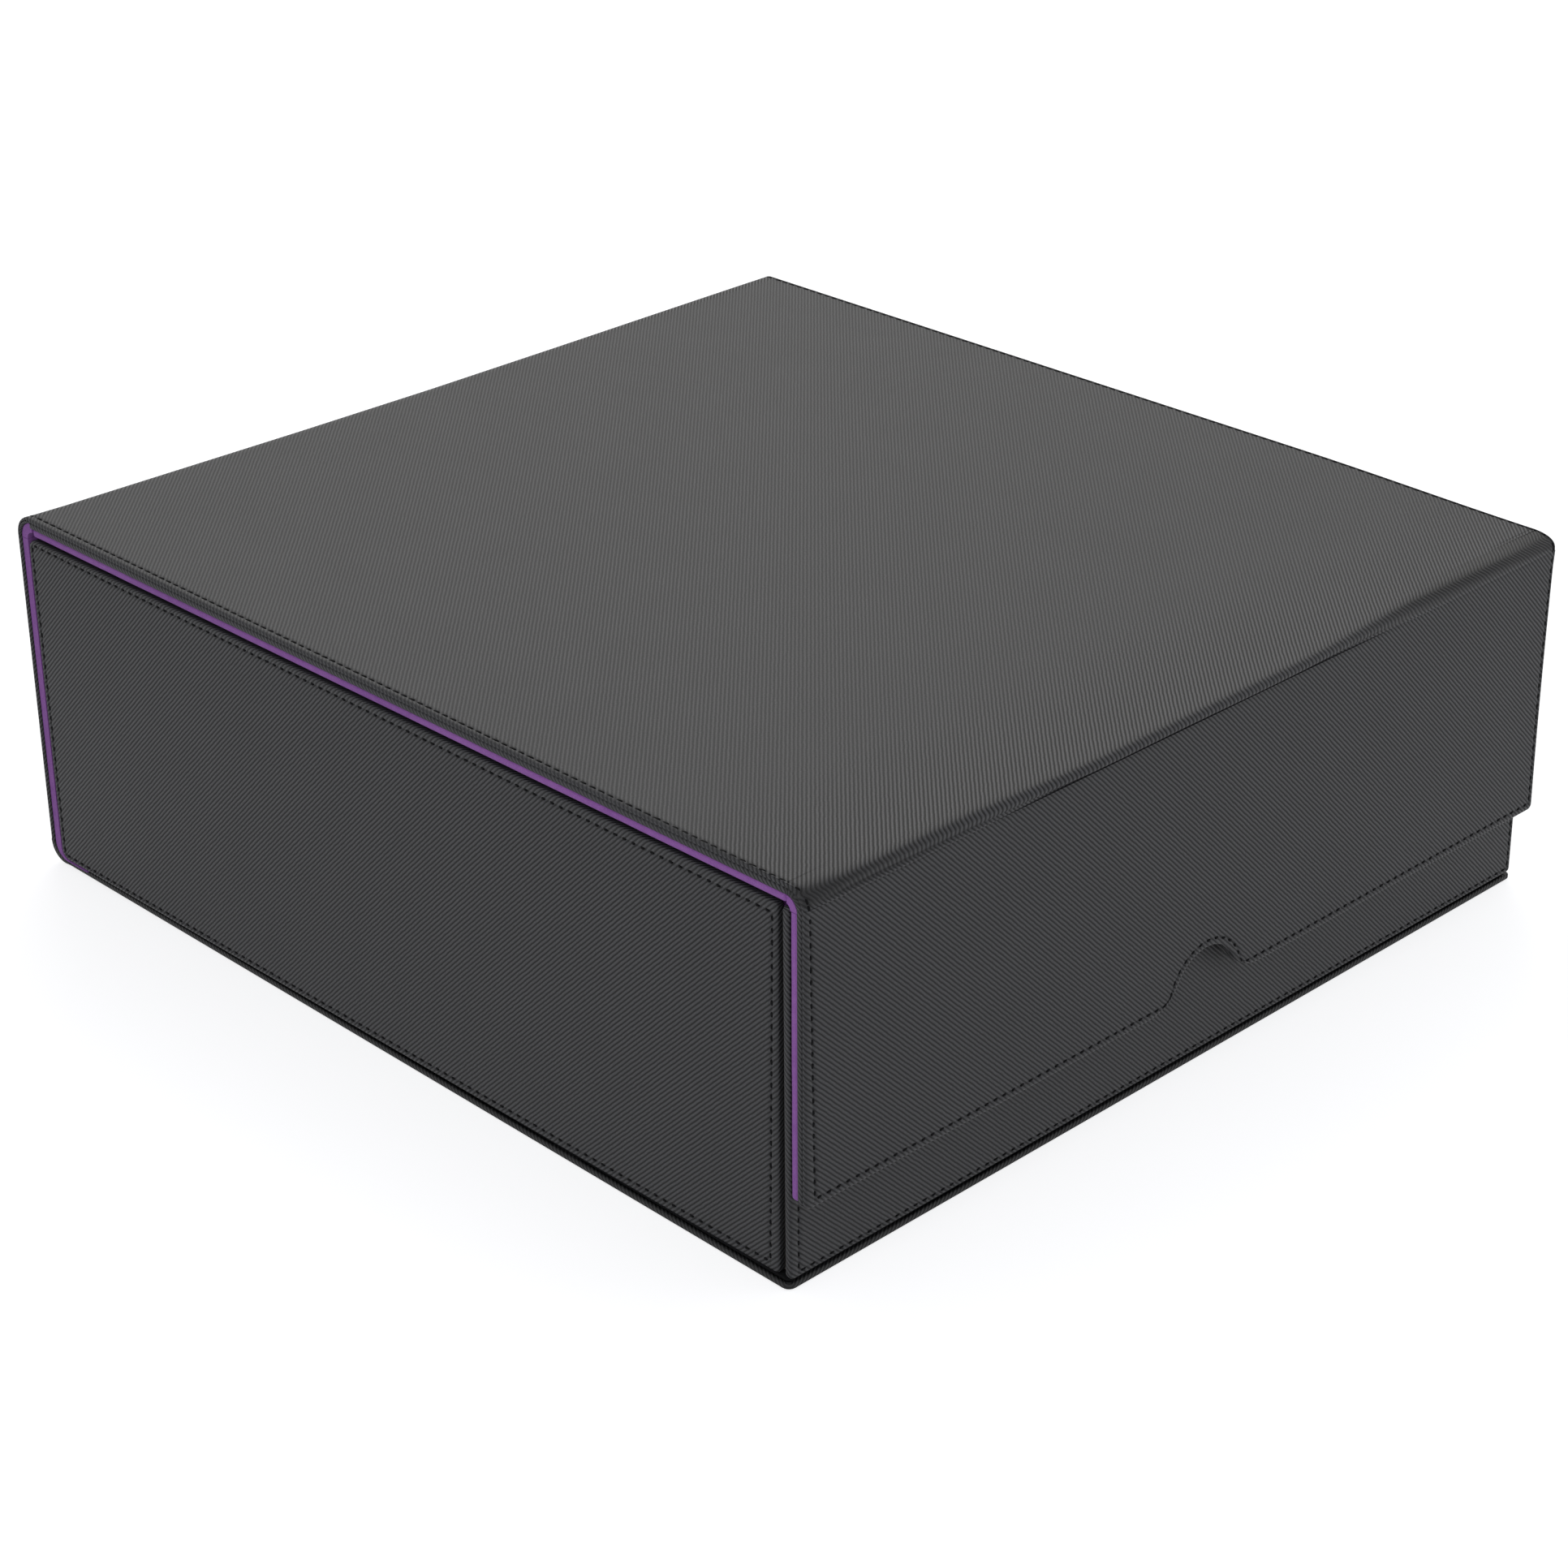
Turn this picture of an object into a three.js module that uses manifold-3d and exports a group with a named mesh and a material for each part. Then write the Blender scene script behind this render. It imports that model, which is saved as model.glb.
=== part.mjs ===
// Card storage box: a tray of wrapped board walls inside a wrap cover whose lid and front flap fold.
// Units are millimetres. +Z is up, the flap faces -Y, and the origin is under the middle of the box.
import * as THREE from 'three';
import { mergeVertices } from 'three/addons/utils/BufferGeometryUtils.js';
import Module from 'manifold-3d';

const wasm = await Module();
wasm.setup();

// Overall size of the closed box
const boxWidth = 292;
const boxDepth = 313;
const boxHeight = 110;

// Sheet and board thicknesses; the bottom panel has the same board as the back
const skin = 0.6;
const coverBoard = 2.5;
const backBoard = 1.0;
const sideBoard = 2.0;
const frontBoard = 1.6;
const coverLining = 2.2;
const backLining = 2.7;
const innerLining = 1.4;
const stiffener = 2.0;
const glue = 0.1;

// Rounding of edges, as shares of the thickness of their panel or sheet
const wrapEdgeShare = 0.35;
const sheetEdgeShare = 0.25;
const foldEdgeShare = 0.375;

// Corners of the panels
const flapCorner = 1.8;
const wallCorner = 3.0;
const baseCorner = 2.5;

// Seam round the top and the flap, where the outer and inner turns of the skin meet
const seamWidth = 0.4;
const seamDepth = 0.4;
const seamShare = 0.6;

// Folds of the cover: the folding sheet, and the radius left inside the lining
const foldSheet = 1.6;
const frontFoldInside = 1.0;
const rearFoldInside = 2.4;
const foldClearance = 0.3;

// Flap and its thumb notch; the lining keeps further back from the notch than the skin
const flapDrop = 5.0;
const flapFoot = 24.9;
const notchDepth = 12.6;
const notchRadius = 12.5;
const notchFillet = 13.0;
const notchLiningInset = 4.0;
const flapClearance = 0.4;

// Magnets in the flap and steel discs behind the front wall's skin
const magnetDiameter = 12.0;
const magnetHeight = 1.4;
const keeperDiameter = 14.0;
const keeperHeight = 1.0;
const pocketClearance = 0.2;
const magnetRise = 13.0;
const magnetWidthShares = [-0.4, -0.2, 0.2, 0.4];

// Tray
const baseSheet = 0.7;
const baseSheetInset = 1.2;
const baseLip = 0.4;
const wallInset = 0.3;
const wallSeam = 1.3;
const lidGap = 1.1;
const floorBoard = 2.0;
const floorLining = 1.2;
const liningDrop = 0.6;
const liningFoot = 10.0;
const liningFootTip = 0.3;

// Rows, partitions and dividers
const rowCount = 4;
const partitionBoard = 1.6;
const partitionLining = 0.7;
const partitionDrop = 4.8;
const dividerThickness = 2.0;
const dividerDrop = 6.0;
const dividerPlay = 0.4;
const dividerCorner = 5.0;

// Cuts run past the surface they open by this much
const overrun = 2.0;

// Steps in a rounded edge, in a corner and in a long arc
const edgeSteps = 2;
const cornerSteps = 4;
const arcSteps = 12;
const foldSteps = 8;
const discSteps = 28;

// Thicknesses of the built-up panels
const coverThickness = skin + coverBoard;
const backThickness = skin + backBoard;
const sideThickness = skin + sideBoard;
const frontThickness = skin + frontBoard;
const liningEdge = sheetEdgeShare * coverLining;

// Outer radii of the folds
const frontFold = coverThickness + glue + coverLining + frontFoldInside;
const rearFold = backThickness + glue + backLining + rearFoldInside;

// Places along the depth
const flapFace = -boxDepth / 2;
const backFace = boxDepth / 2;
const frontWallFace = flapFace + coverThickness + glue + coverLining + flapClearance;
const frontWallBack = frontWallFace + frontThickness;
const sideWallFront = frontWallBack + wallSeam;
const backLiningInside = backFace - backThickness - glue - backLining;
const sideWallRear = backLiningInside - flapClearance;
const frontStiffenerBack = frontWallBack + glue + stiffener;
const backStiffenerFront = sideWallRear - stiffener;
const rowFront = frontStiffenerBack + glue + innerLining;
const rowRear = backStiffenerFront - glue - innerLining;

// Heights
const trayBottom = backThickness + glue + baseSheet + glue;
const topLiningUnder = boxHeight - coverThickness - glue - coverLining;
const wallTop = topLiningUnder - lidGap;
const floorTop = trayBottom + floorBoard;
const rowFloor = floorTop + glue + floorLining;
const liningTop = wallTop - liningDrop;
const stiffenerTop = liningTop - innerLining - glue;
const partitionTop = wallTop - partitionDrop;
const dividerTop = wallTop - dividerDrop;

// Places across the width, from the middle
const wallFace = boxWidth / 2 - wallInset;
const wallInside = wallFace - sideThickness;
const rowSide = wallInside - glue - innerLining;
const partitionThickness = partitionBoard + 2 * (glue + partitionLining);
const rowWidth = (2 * rowSide - (rowCount - 1) * partitionThickness) / rowCount;
const rowPitch = rowWidth + partitionThickness;

// Hinge axes lie in the middle of the sheets that fold
const lidAxis = new THREE.Vector3(0, backFace - backThickness / 2, boxHeight - coverThickness / 2);
const flapAxis = new THREE.Vector3(0, flapFace + coverThickness / 2, boxHeight - coverThickness / 2);

// Materials
const texturedSkin = new THREE.MeshStandardMaterial({ color: 0x3b3b3e, roughness: 0.55, metalness: 0 });
const purpleLining = new THREE.MeshStandardMaterial({ color: 0x7a4a96, roughness: 0.95, metalness: 0 });
const greyBoard = new THREE.MeshStandardMaterial({ color: 0x8c8780, roughness: 0.9, metalness: 0 });
const blackSheet = new THREE.MeshStandardMaterial({ color: 0x1c1c1e, roughness: 0.9, metalness: 0 });
const plating = new THREE.MeshStandardMaterial({ color: 0xb9bcc0, roughness: 0.3, metalness: 1 });

// Which way a panel's outer face points, as a turn about Z from the front
const FRONT = 0;
const RIGHT = Math.PI / 2;
const BACK = Math.PI;
const LEFT = -Math.PI / 2;

// Points of an arc, with both its ends
function arc(u, v, radius, from, to, steps) {
  const points = [];
  for (let i = 0; i <= steps; i += 1) {
    const angle = from + ((to - from) * i) / steps;
    points.push(new THREE.Vector2(u + radius * Math.cos(angle), v + radius * Math.sin(angle)));
  }
  return points;
}

// Rectangle with sharp corners, drawn in at its two sides
function openRectangle(half, bottom, top, inset) {
  return [
    new THREE.Vector2(-half + inset, bottom),
    new THREE.Vector2(half - inset, bottom),
    new THREE.Vector2(half - inset, top),
    new THREE.Vector2(-half + inset, top),
  ];
}

// Rectangle with round corners, drawn in all round
function roundedRectangle(half, bottom, top, corner, inset) {
  const radius = corner - inset;
  return [
    ...arc(-half + corner, bottom + corner, radius, Math.PI, 1.5 * Math.PI, cornerSteps),
    ...arc(half - corner, bottom + corner, radius, -0.5 * Math.PI, 0, cornerSteps),
    ...arc(half - corner, top - corner, radius, 0, 0.5 * Math.PI, cornerSteps),
    ...arc(-half + corner, top - corner, radius, 0.5 * Math.PI, Math.PI, cornerSteps),
  ];
}

// Section of a bent sheet, from one angle to another; its inner face may end at an angle of its own
function bentSheet(u, v, outer, inner, from, to, innerTo = to) {
  return [...arc(u, v, outer, from, to, foldSteps), ...arc(u, v, inner, innerTo, from, foldSteps)];
}

// Thumb notch in a level edge, left to right: a round bay between two fillets, all offset into the sheet
function notch(edge, depth, radius, fillet, offset) {
  const centre = edge + depth - radius;
  const rise = edge + fillet - centre;
  const reach = Math.sqrt((radius + fillet) ** 2 - rise ** 2);
  const tilt = Math.atan2(rise, reach);
  return [
    ...arc(-reach, edge + fillet, fillet - offset, -0.5 * Math.PI, -tilt, cornerSteps),
    ...arc(0, centre, radius + offset, Math.PI - tilt, tilt, arcSteps).slice(1, -1),
    ...arc(reach, edge + fillet, fillet - offset, Math.PI + tilt, 1.5 * Math.PI, cornerSteps),
  ];
}

// Slab of an outline from one level to another, with round edges where an edge radius is given
function slab(outline, from, to, edge = 0) {
  const shape = new THREE.Shape(outline);
  const geometry = new THREE.ExtrudeGeometry(shape, {
    depth: to - from - 2 * edge,
    bevelEnabled: edge > 0,
    bevelThickness: edge,
    bevelSize: edge,
    bevelOffset: -edge,
    bevelSegments: edgeSteps,
    steps: 1,
  });
  geometry.translate(0, 0, from + edge);
  return geometry;
}

// Closed geometry as a solid that can be cut
function toSolid(geometry) {
  const bare = geometry.clone();
  bare.deleteAttribute('normal');
  bare.deleteAttribute('uv');
  const merged = mergeVertices(bare);
  return new wasm.Manifold(
    new wasm.Mesh({
      numProp: 3,
      vertProperties: new Float32Array(merged.attributes.position.array),
      triVerts: new Uint32Array(merged.index.array),
    }),
  );
}

// Solid back to a geometry
function toGeometry(solid) {
  const mesh = solid.getMesh();
  const geometry = new THREE.BufferGeometry();
  geometry.setAttribute('position', new THREE.BufferAttribute(new Float32Array(mesh.vertProperties), 3));
  geometry.setIndex(new THREE.BufferAttribute(new Uint32Array(mesh.triVerts), 1));
  geometry.computeVertexNormals();
  return geometry;
}

// Geometry with others cut away
function cut(geometry, ...tools) {
  return toGeometry(tools.reduce((solid, tool) => solid.subtract(toSolid(tool)), toSolid(geometry)));
}

// Box between two corners
function block(left, front, bottom, right, back, top) {
  const geometry = new THREE.BoxGeometry(right - left, back - front, top - bottom);
  geometry.translate((left + right) / 2, (front + back) / 2, (bottom + top) / 2);
  return geometry;
}

// Disc standing on a level of a panel, at a place in its plane
function disc(u, v, diameter, from, to) {
  const geometry = new THREE.CylinderGeometry(diameter / 2, diameter / 2, to - from, discSteps);
  geometry.rotateX(Math.PI / 2);
  geometry.translate(u, v, (from + to) / 2);
  return geometry;
}

// Board wrapped in a skin: the skin closes the outer face and the edges, the board lies open to the inside.
// The outline is a function of how far it is drawn in. Ends are cut square where a fold carries on.
function wrappedPanel(outline, board, ends = [], grooves = []) {
  const thickness = board + skin;
  const outer = slab(outline(0), 0, thickness, wrapEdgeShare * thickness);
  const pocket = slab(outline(skin), -overrun, board + glue);
  return {
    skin: cut(outer, pocket, ...ends, ...grooves),
    board: cut(slab(outline(skin + glue), 0, board), ...ends),
  };
}

// Groove round the edge of a cover panel along its seam
function seam(outline) {
  const level = seamShare * coverThickness;
  const around = slab(outline(-overrun), level - seamWidth / 2, level + seamWidth / 2);
  return cut(around, slab(outline(seamDepth), level - seamWidth, level + seamWidth));
}

// Block that takes away all of a panel beyond one of its ends
function endCut(from, to) {
  return block(-boxWidth, from, -overrun, boxWidth, to, coverThickness + overrun);
}

function mesh(name, geometry, material) {
  const piece = new THREE.Mesh(geometry, material.clone());
  piece.name = name;
  return piece;
}

// Stands a panel upright with its outer face to one side; seen from outside, its first axis runs to the right
function upright(piece, side, x, y, z) {
  piece.rotation.set(Math.PI / 2, 0, side, 'ZXY');
  piece.position.set(x, y, z);
  return piece;
}

// Lays a sheet profile, drawn in depth and height, across the whole width
function across(name, outline, material, inset, edge) {
  const piece = mesh(name, slab(outline, inset, boxWidth - inset, edge), material);
  return upright(piece, RIGHT, -boxWidth / 2, 0, 0);
}

const cardBox = new THREE.Group();
cardBox.name = 'card_storage_box';
const tray = new THREE.Group();
tray.name = 'tray';
const lid = new THREE.Group();
lid.name = 'lid';
lid.position.copy(lidAxis);
const flap = new THREE.Group();
flap.name = 'flap';
flap.position.subVectors(flapAxis, lidAxis);
lid.add(flap);
cardBox.add(tray, lid);
cardBox.updateMatrixWorld(true);

// Top panel of the cover, between the front and rear folds
function topPanel() {
  const front = flapFace + frontFold + glue;
  const rear = backFace - rearFold - glue;
  const half = boxWidth / 2;
  const spare = coverThickness + overrun;
  const outline = (inset) => openRectangle(half, front - spare, rear + spare, inset);
  const ends = [endCut(front - 2 * spare, front), endCut(rear, rear + 2 * spare)];
  const panel = wrappedPanel(outline, coverBoard, ends, [seam(outline)]);
  const liningOutline = roundedRectangle(half - liningEdge, front, rear, 2 * liningEdge, 0);
  const pieces = [
    mesh('top_skin', panel.skin, texturedSkin),
    mesh('top_board', panel.board, greyBoard),
    mesh('top_lining', slab(liningOutline, 0, coverLining, liningEdge), purpleLining),
  ];
  pieces[0].position.z = boxHeight - coverThickness;
  pieces[1].position.z = boxHeight - coverThickness;
  pieces[2].position.z = topLiningUnder;
  pieces.forEach((piece) => lid.attach(piece));
}

// Soft folds of skin and lining at the front and rear edges of the top
function coverFolds() {
  const frontV = boxHeight - frontFold;
  const frontU = flapFace + frontFold;
  const frontRise = frontFold - flapDrop + foldClearance;
  const frontInside = frontFold - foldSheet;
  const frontEnd = Math.PI - Math.asin(frontRise / frontFold);
  const frontInsideEnd = Math.PI - Math.asin(frontRise / frontInside);
  const frontLiningRadius = frontFold - coverThickness - glue;
  const rearU = backFace - rearFold;
  const rearV = boxHeight - rearFold;
  const rearLiningRadius = rearFold - backThickness - glue;
  const foldEdge = foldEdgeShare * foldSheet;
  const folds = [
    across('front_fold',
      bentSheet(frontU, frontV, frontFold, frontInside, Math.PI / 2, frontEnd, frontInsideEnd),
      texturedSkin, 0, foldEdge),
    across('front_lining_fold',
      bentSheet(frontU, frontV, frontLiningRadius, frontLiningRadius - coverLining, Math.PI / 2, Math.PI),
      purpleLining, liningEdge, 0),
    across('rear_fold', bentSheet(rearU, rearV, rearFold, rearFold - foldSheet, 0, Math.PI / 2),
      texturedSkin, 0, foldEdge),
    across('rear_lining_fold',
      bentSheet(rearU, rearV, rearLiningRadius, rearLiningRadius - backLining, 0, Math.PI / 2),
      purpleLining, liningEdge, 0),
  ];
  folds.forEach((piece) => lid.attach(piece));
}

// Outline of the flap, drawn in by an offset, and at the notch by one of its own
function flapOutline(top, inset, notchInset = inset) {
  const half = boxWidth / 2 - inset;
  const corner = flapCorner - inset;
  const bottom = flapFoot + inset;
  return [
    ...arc(-half + corner, bottom + corner, corner, Math.PI, 1.5 * Math.PI, cornerSteps),
    ...notch(flapFoot, notchDepth, notchRadius, notchFillet, notchInset),
    ...arc(half - corner, bottom + corner, corner, -0.5 * Math.PI, 0, cornerSteps),
    new THREE.Vector2(half, top - inset),
    new THREE.Vector2(-half, top - inset),
  ];
}

// Front flap with its lining and magnets
function flapPanel() {
  const panelTop = boxHeight - flapDrop;
  const liningTopEdge = boxHeight - frontFold - glue;
  const outline = (inset) => flapOutline(panelTop, inset);
  const liningOutline = flapOutline(liningTopEdge, liningEdge, notchLiningInset);
  const panel = wrappedPanel(outline, coverBoard, [], [seam(outline)]);
  const magnetV = flapFoot + magnetRise;
  const places = magnetWidthShares.map((share) => share * boxWidth);
  const pockets = places.map((u) => disc(u, magnetV, magnetDiameter + pocketClearance, -overrun,
    magnetHeight + pocketClearance));
  const inside = flapFace + coverThickness;
  const pieces = [
    upright(mesh('flap_skin', panel.skin, texturedSkin), FRONT, 0, inside, 0),
    upright(mesh('flap_board', cut(panel.board, ...pockets), greyBoard), FRONT, 0, inside, 0),
    upright(mesh('flap_lining', slab(liningOutline, 0, coverLining, liningEdge), purpleLining),
      FRONT, 0, inside + glue + coverLining, 0),
  ];
  places.forEach((u, i) => {
    const magnet = mesh(`flap_magnet_${i + 1}`, disc(0, 0, magnetDiameter, 0, magnetHeight), plating);
    pieces.push(upright(magnet, FRONT, u, inside, magnetV));
  });
  pieces.forEach((piece) => flap.attach(piece));
}

// Back panel, the fold under it and its lining, which turns under the tray
function backPanel() {
  const bottom = rearFold + glue;
  const top = boxHeight - rearFold - glue;
  const spare = coverThickness + overrun;
  const outline = (inset) => openRectangle(boxWidth / 2, bottom - spare, top + spare, inset);
  const ends = [endCut(bottom - 2 * spare, bottom), endCut(top, top + 2 * spare)];
  const panel = wrappedPanel(outline, backBoard, ends);
  const foldU = backFace - rearFold;
  const outer = rearFold - backThickness - glue;
  const footUnder = backThickness + glue;
  const cornerU = sideWallRear - wallCorner;
  const cornerV = trayBottom + wallCorner;
  const lining = [
    new THREE.Vector2(foldU + outer, top),
    new THREE.Vector2(backLiningInside, top),
    ...arc(cornerU, cornerV, wallCorner + flapClearance, 0, -0.5 * Math.PI, foldSteps),
    new THREE.Vector2(foldU - liningFoot, footUnder + liningFootTip),
    new THREE.Vector2(foldU - liningFoot, footUnder),
    new THREE.Vector2(foldU, footUnder),
    ...arc(foldU, rearFold, outer, -0.5 * Math.PI, 0, foldSteps),
  ];
  tray.add(
    upright(mesh('back_skin', panel.skin, texturedSkin), BACK, 0, backFace - backThickness, 0),
    upright(mesh('back_board', panel.board, greyBoard), BACK, 0, backFace - backThickness, 0),
    across('back_lining', lining, purpleLining, liningEdge, 0),
    across('base_fold', bentSheet(foldU, rearFold, rearFold, rearFold - foldSheet, -0.5 * Math.PI, 0),
      texturedSkin, 0, foldEdgeShare * foldSheet),
  );
}

// Bottom panel of the cover, which the tray stands on, and the dark sheet over it
function basePanel() {
  const front = frontWallFace - baseLip;
  const rear = backFace - rearFold - glue;
  const half = boxWidth / 2;
  const spare = backThickness + overrun;
  const outline = (inset) => [
    new THREE.Vector2(-half + inset, -rear - spare),
    new THREE.Vector2(half - inset, -rear - spare),
    ...arc(half - baseCorner, -front - baseCorner, baseCorner - inset, 0, 0.5 * Math.PI, cornerSteps),
    ...arc(-half + baseCorner, -front - baseCorner, baseCorner - inset, 0.5 * Math.PI, Math.PI, cornerSteps),
  ];
  const panel = wrappedPanel(outline, backBoard, [endCut(-rear - 2 * spare, -rear)]);
  const sheetRear = backFace - rearFold - liningFoot - glue;
  const sheet = slab(outline(baseSheetInset), 0, baseSheet);
  const pieces = [
    mesh('base_skin', panel.skin, texturedSkin),
    mesh('base_board', panel.board, greyBoard),
    mesh('base_sheet', cut(sheet, endCut(-rear - 2 * spare, -sheetRear)), blackSheet),
  ];
  pieces.forEach((piece) => {
    piece.rotation.x = Math.PI;
    piece.position.z = backThickness;
  });
  pieces[2].position.z = backThickness + glue + baseSheet;
  tray.add(...pieces);
}

// Side walls and their linings
function sideWalls() {
  const middle = (sideWallFront + sideWallRear) / 2;
  const half = (sideWallRear - sideWallFront) / 2;
  const outline = (inset) => roundedRectangle(half, trayBottom, wallTop, wallCorner, inset);
  const liningFront = frontStiffenerBack + glue;
  const liningRear = backStiffenerFront - glue;
  [['left', LEFT, -1], ['right', RIGHT, 1]].forEach(([side, facing, sign]) => {
    const panel = wrappedPanel(outline, sideBoard);
    const x = sign * wallInside;
    const lining = block(rowSide, liningFront, floorTop + glue, wallInside - glue, liningRear, liningTop);
    if (sign < 0) {
      lining.translate(-rowSide - wallInside + glue, 0, 0);
    }
    tray.add(
      upright(mesh(`${side}_wall_skin`, panel.skin, texturedSkin), facing, x, middle, 0),
      upright(mesh(`${side}_wall_board`, panel.board, greyBoard), facing, x, middle, 0),
      mesh(`${side}_wall_lining`, lining, purpleLining),
    );
  });
}

// Lining of a stiffener, turned over its top edge from the far side to the near side
function turnedLining(name, far, near, face) {
  const profile = [
    [face, rowFloor + glue], [face, liningTop], [far, liningTop],
    [far, liningTop - innerLining], [near, liningTop - innerLining], [near, rowFloor + glue],
  ].map(([u, v]) => new THREE.Vector2(u, v));
  const inset = boxWidth / 2 - rowSide + glue;
  return across(name, profile, purpleLining, inset, 0);
}

// Front wall: a wrapped panel over the tray's full width, stiffened between the side walls
function frontWall() {
  const outline = (inset) => roundedRectangle(wallFace, trayBottom, wallTop, wallCorner, inset);
  const panel = wrappedPanel(outline, frontBoard);
  const keeperV = flapFoot + magnetRise;
  const places = magnetWidthShares.map((share) => share * boxWidth);
  const pockets = places.map((u) => disc(u, keeperV, keeperDiameter + pocketClearance, -overrun,
    keeperHeight + pocketClearance));
  tray.add(
    upright(mesh('front_wall_skin', panel.skin, texturedSkin), FRONT, 0, frontWallBack, 0),
    upright(mesh('front_wall_board', cut(panel.board, ...pockets), greyBoard), FRONT, 0, frontWallBack, 0),
    mesh('front_stiffener', block(-wallInside + glue, frontWallBack + glue, floorTop + glue,
      wallInside - glue, frontStiffenerBack, stiffenerTop), greyBoard),
    turnedLining('front_wall_lining', frontWallBack + glue, frontStiffenerBack + glue, rowFront),
  );
  places.forEach((u, i) => {
    const keeper = mesh(`keeper_disc_${i + 1}`, disc(0, 0, keeperDiameter, 0, keeperHeight), plating);
    tray.add(upright(keeper, FRONT, u, frontWallBack, keeperV));
  });
}

// Back wall of the rows, behind the last card
function backWall() {
  tray.add(
    mesh('back_stiffener', block(-wallInside + glue, backStiffenerFront, floorTop + glue,
      wallInside - glue, sideWallRear, stiffenerTop), greyBoard),
    turnedLining('back_wall_lining', sideWallRear, backStiffenerFront - glue, rowRear),
  );
}

// Floor board and the lining that the cards stand on
function floor() {
  const rear = sideWallRear - wallCorner;
  tray.add(
    mesh('floor_board', block(-wallInside + glue, frontWallBack + glue, trayBottom,
      wallInside - glue, rear, floorTop), greyBoard),
    mesh('floor_lining', block(-rowSide + glue, frontStiffenerBack + glue, floorTop + glue,
      rowSide - glue, rear, rowFloor), purpleLining),
  );
}

// Middle of a row, counted from the left
function rowMiddle(row) {
  return -rowSide + rowWidth / 2 + row * rowPitch;
}

// Partitions between the rows: a board in a folded lining
function partitions() {
  const bottom = rowFloor + glue;
  const front = rowFront + glue;
  const rear = rowRear - glue;
  for (let i = 1; i < rowCount; i += 1) {
    const x = rowMiddle(i) - rowPitch / 2;
    const wide = partitionThickness / 2;
    const narrow = wide - partitionLining;
    const under = partitionTop - partitionLining;
    const profile = [
      [-wide, bottom], [-narrow, bottom], [-narrow, under], [narrow, under],
      [narrow, bottom], [wide, bottom], [wide, partitionTop], [-wide, partitionTop],
    ].map(([u, v]) => new THREE.Vector2(u, v));
    const folded = mesh(`partition_lining_${i}`, slab(profile, 0, rear - front), purpleLining);
    const board = block(-partitionBoard / 2, front, bottom, partitionBoard / 2, rear, under - glue);
    const core = mesh(`partition_board_${i}`, board, greyBoard);
    core.position.x = x;
    tray.add(upright(folded, FRONT, x, rear, 0), core);
  }
}

// Loose dividers, one to a row, at the back of their rows
function dividers() {
  const half = rowWidth / 2 - dividerPlay;
  const bottom = rowFloor + dividerPlay;
  const cornerU = half - dividerCorner;
  const cornerV = dividerTop - dividerCorner;
  const edge = sheetEdgeShare * dividerThickness;
  for (let row = 0; row < rowCount; row += 1) {
    const outline = [
      new THREE.Vector2(-half, bottom),
      new THREE.Vector2(half, bottom),
      ...arc(cornerU, cornerV, dividerCorner, 0, Math.PI / 2, cornerSteps),
      ...arc(-cornerU, cornerV, dividerCorner, Math.PI / 2, Math.PI, cornerSteps),
    ];
    const divider = mesh(`divider_${row + 1}`, slab(outline, 0, dividerThickness, edge), texturedSkin);
    const group = new THREE.Group();
    group.name = `divider_${row + 1}_slide`;
    group.position.set(rowMiddle(row), rowRear - dividerPlay, 0);
    group.add(upright(divider, FRONT, 0, 0, 0));
    cardBox.add(group);
  }
}

topPanel();
coverFolds();
flapPanel();
backPanel();
basePanel();
sideWalls();
frontWall();
backWall();
floor();
partitions();
dividers();

export default cardBox;
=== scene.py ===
# Looks of the card storage box: ribbed dark skin, black stitches, purple felt lining, soft folds.
# Sizes are millimetres in the tables and metres in Blender.
import math

import bmesh
import bpy
import numpy as np
from mathutils import Matrix, Vector, noise


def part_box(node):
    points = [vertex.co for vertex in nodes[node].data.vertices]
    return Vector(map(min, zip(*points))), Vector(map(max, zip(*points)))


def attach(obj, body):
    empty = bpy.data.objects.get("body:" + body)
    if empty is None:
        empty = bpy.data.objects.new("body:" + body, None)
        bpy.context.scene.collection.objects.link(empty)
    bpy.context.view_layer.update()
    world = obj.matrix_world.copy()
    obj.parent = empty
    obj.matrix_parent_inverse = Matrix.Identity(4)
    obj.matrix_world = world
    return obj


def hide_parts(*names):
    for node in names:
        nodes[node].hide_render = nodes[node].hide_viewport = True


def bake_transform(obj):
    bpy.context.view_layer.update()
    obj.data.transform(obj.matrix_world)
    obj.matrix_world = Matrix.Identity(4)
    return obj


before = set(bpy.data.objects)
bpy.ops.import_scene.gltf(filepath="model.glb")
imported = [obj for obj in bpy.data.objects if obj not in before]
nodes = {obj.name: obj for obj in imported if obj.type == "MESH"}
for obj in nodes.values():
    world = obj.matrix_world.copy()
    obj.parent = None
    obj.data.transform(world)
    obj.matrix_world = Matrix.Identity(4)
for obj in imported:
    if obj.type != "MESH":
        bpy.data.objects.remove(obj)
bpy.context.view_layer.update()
MM = 0.001

# Camera of the photograph: place in metres, direction in degrees, lens in millimetres
CAMERA_PLACE = (-0.630658, -0.643100, 0.486130)
CAMERA_AZIMUTH = -44.498
CAMERA_ELEVATION = 26.929
CAMERA_ROLL = -0.232
CAMERA_LENS = 80.62
SENSOR = 36.0
CLIP = (0.05, 50)

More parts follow.
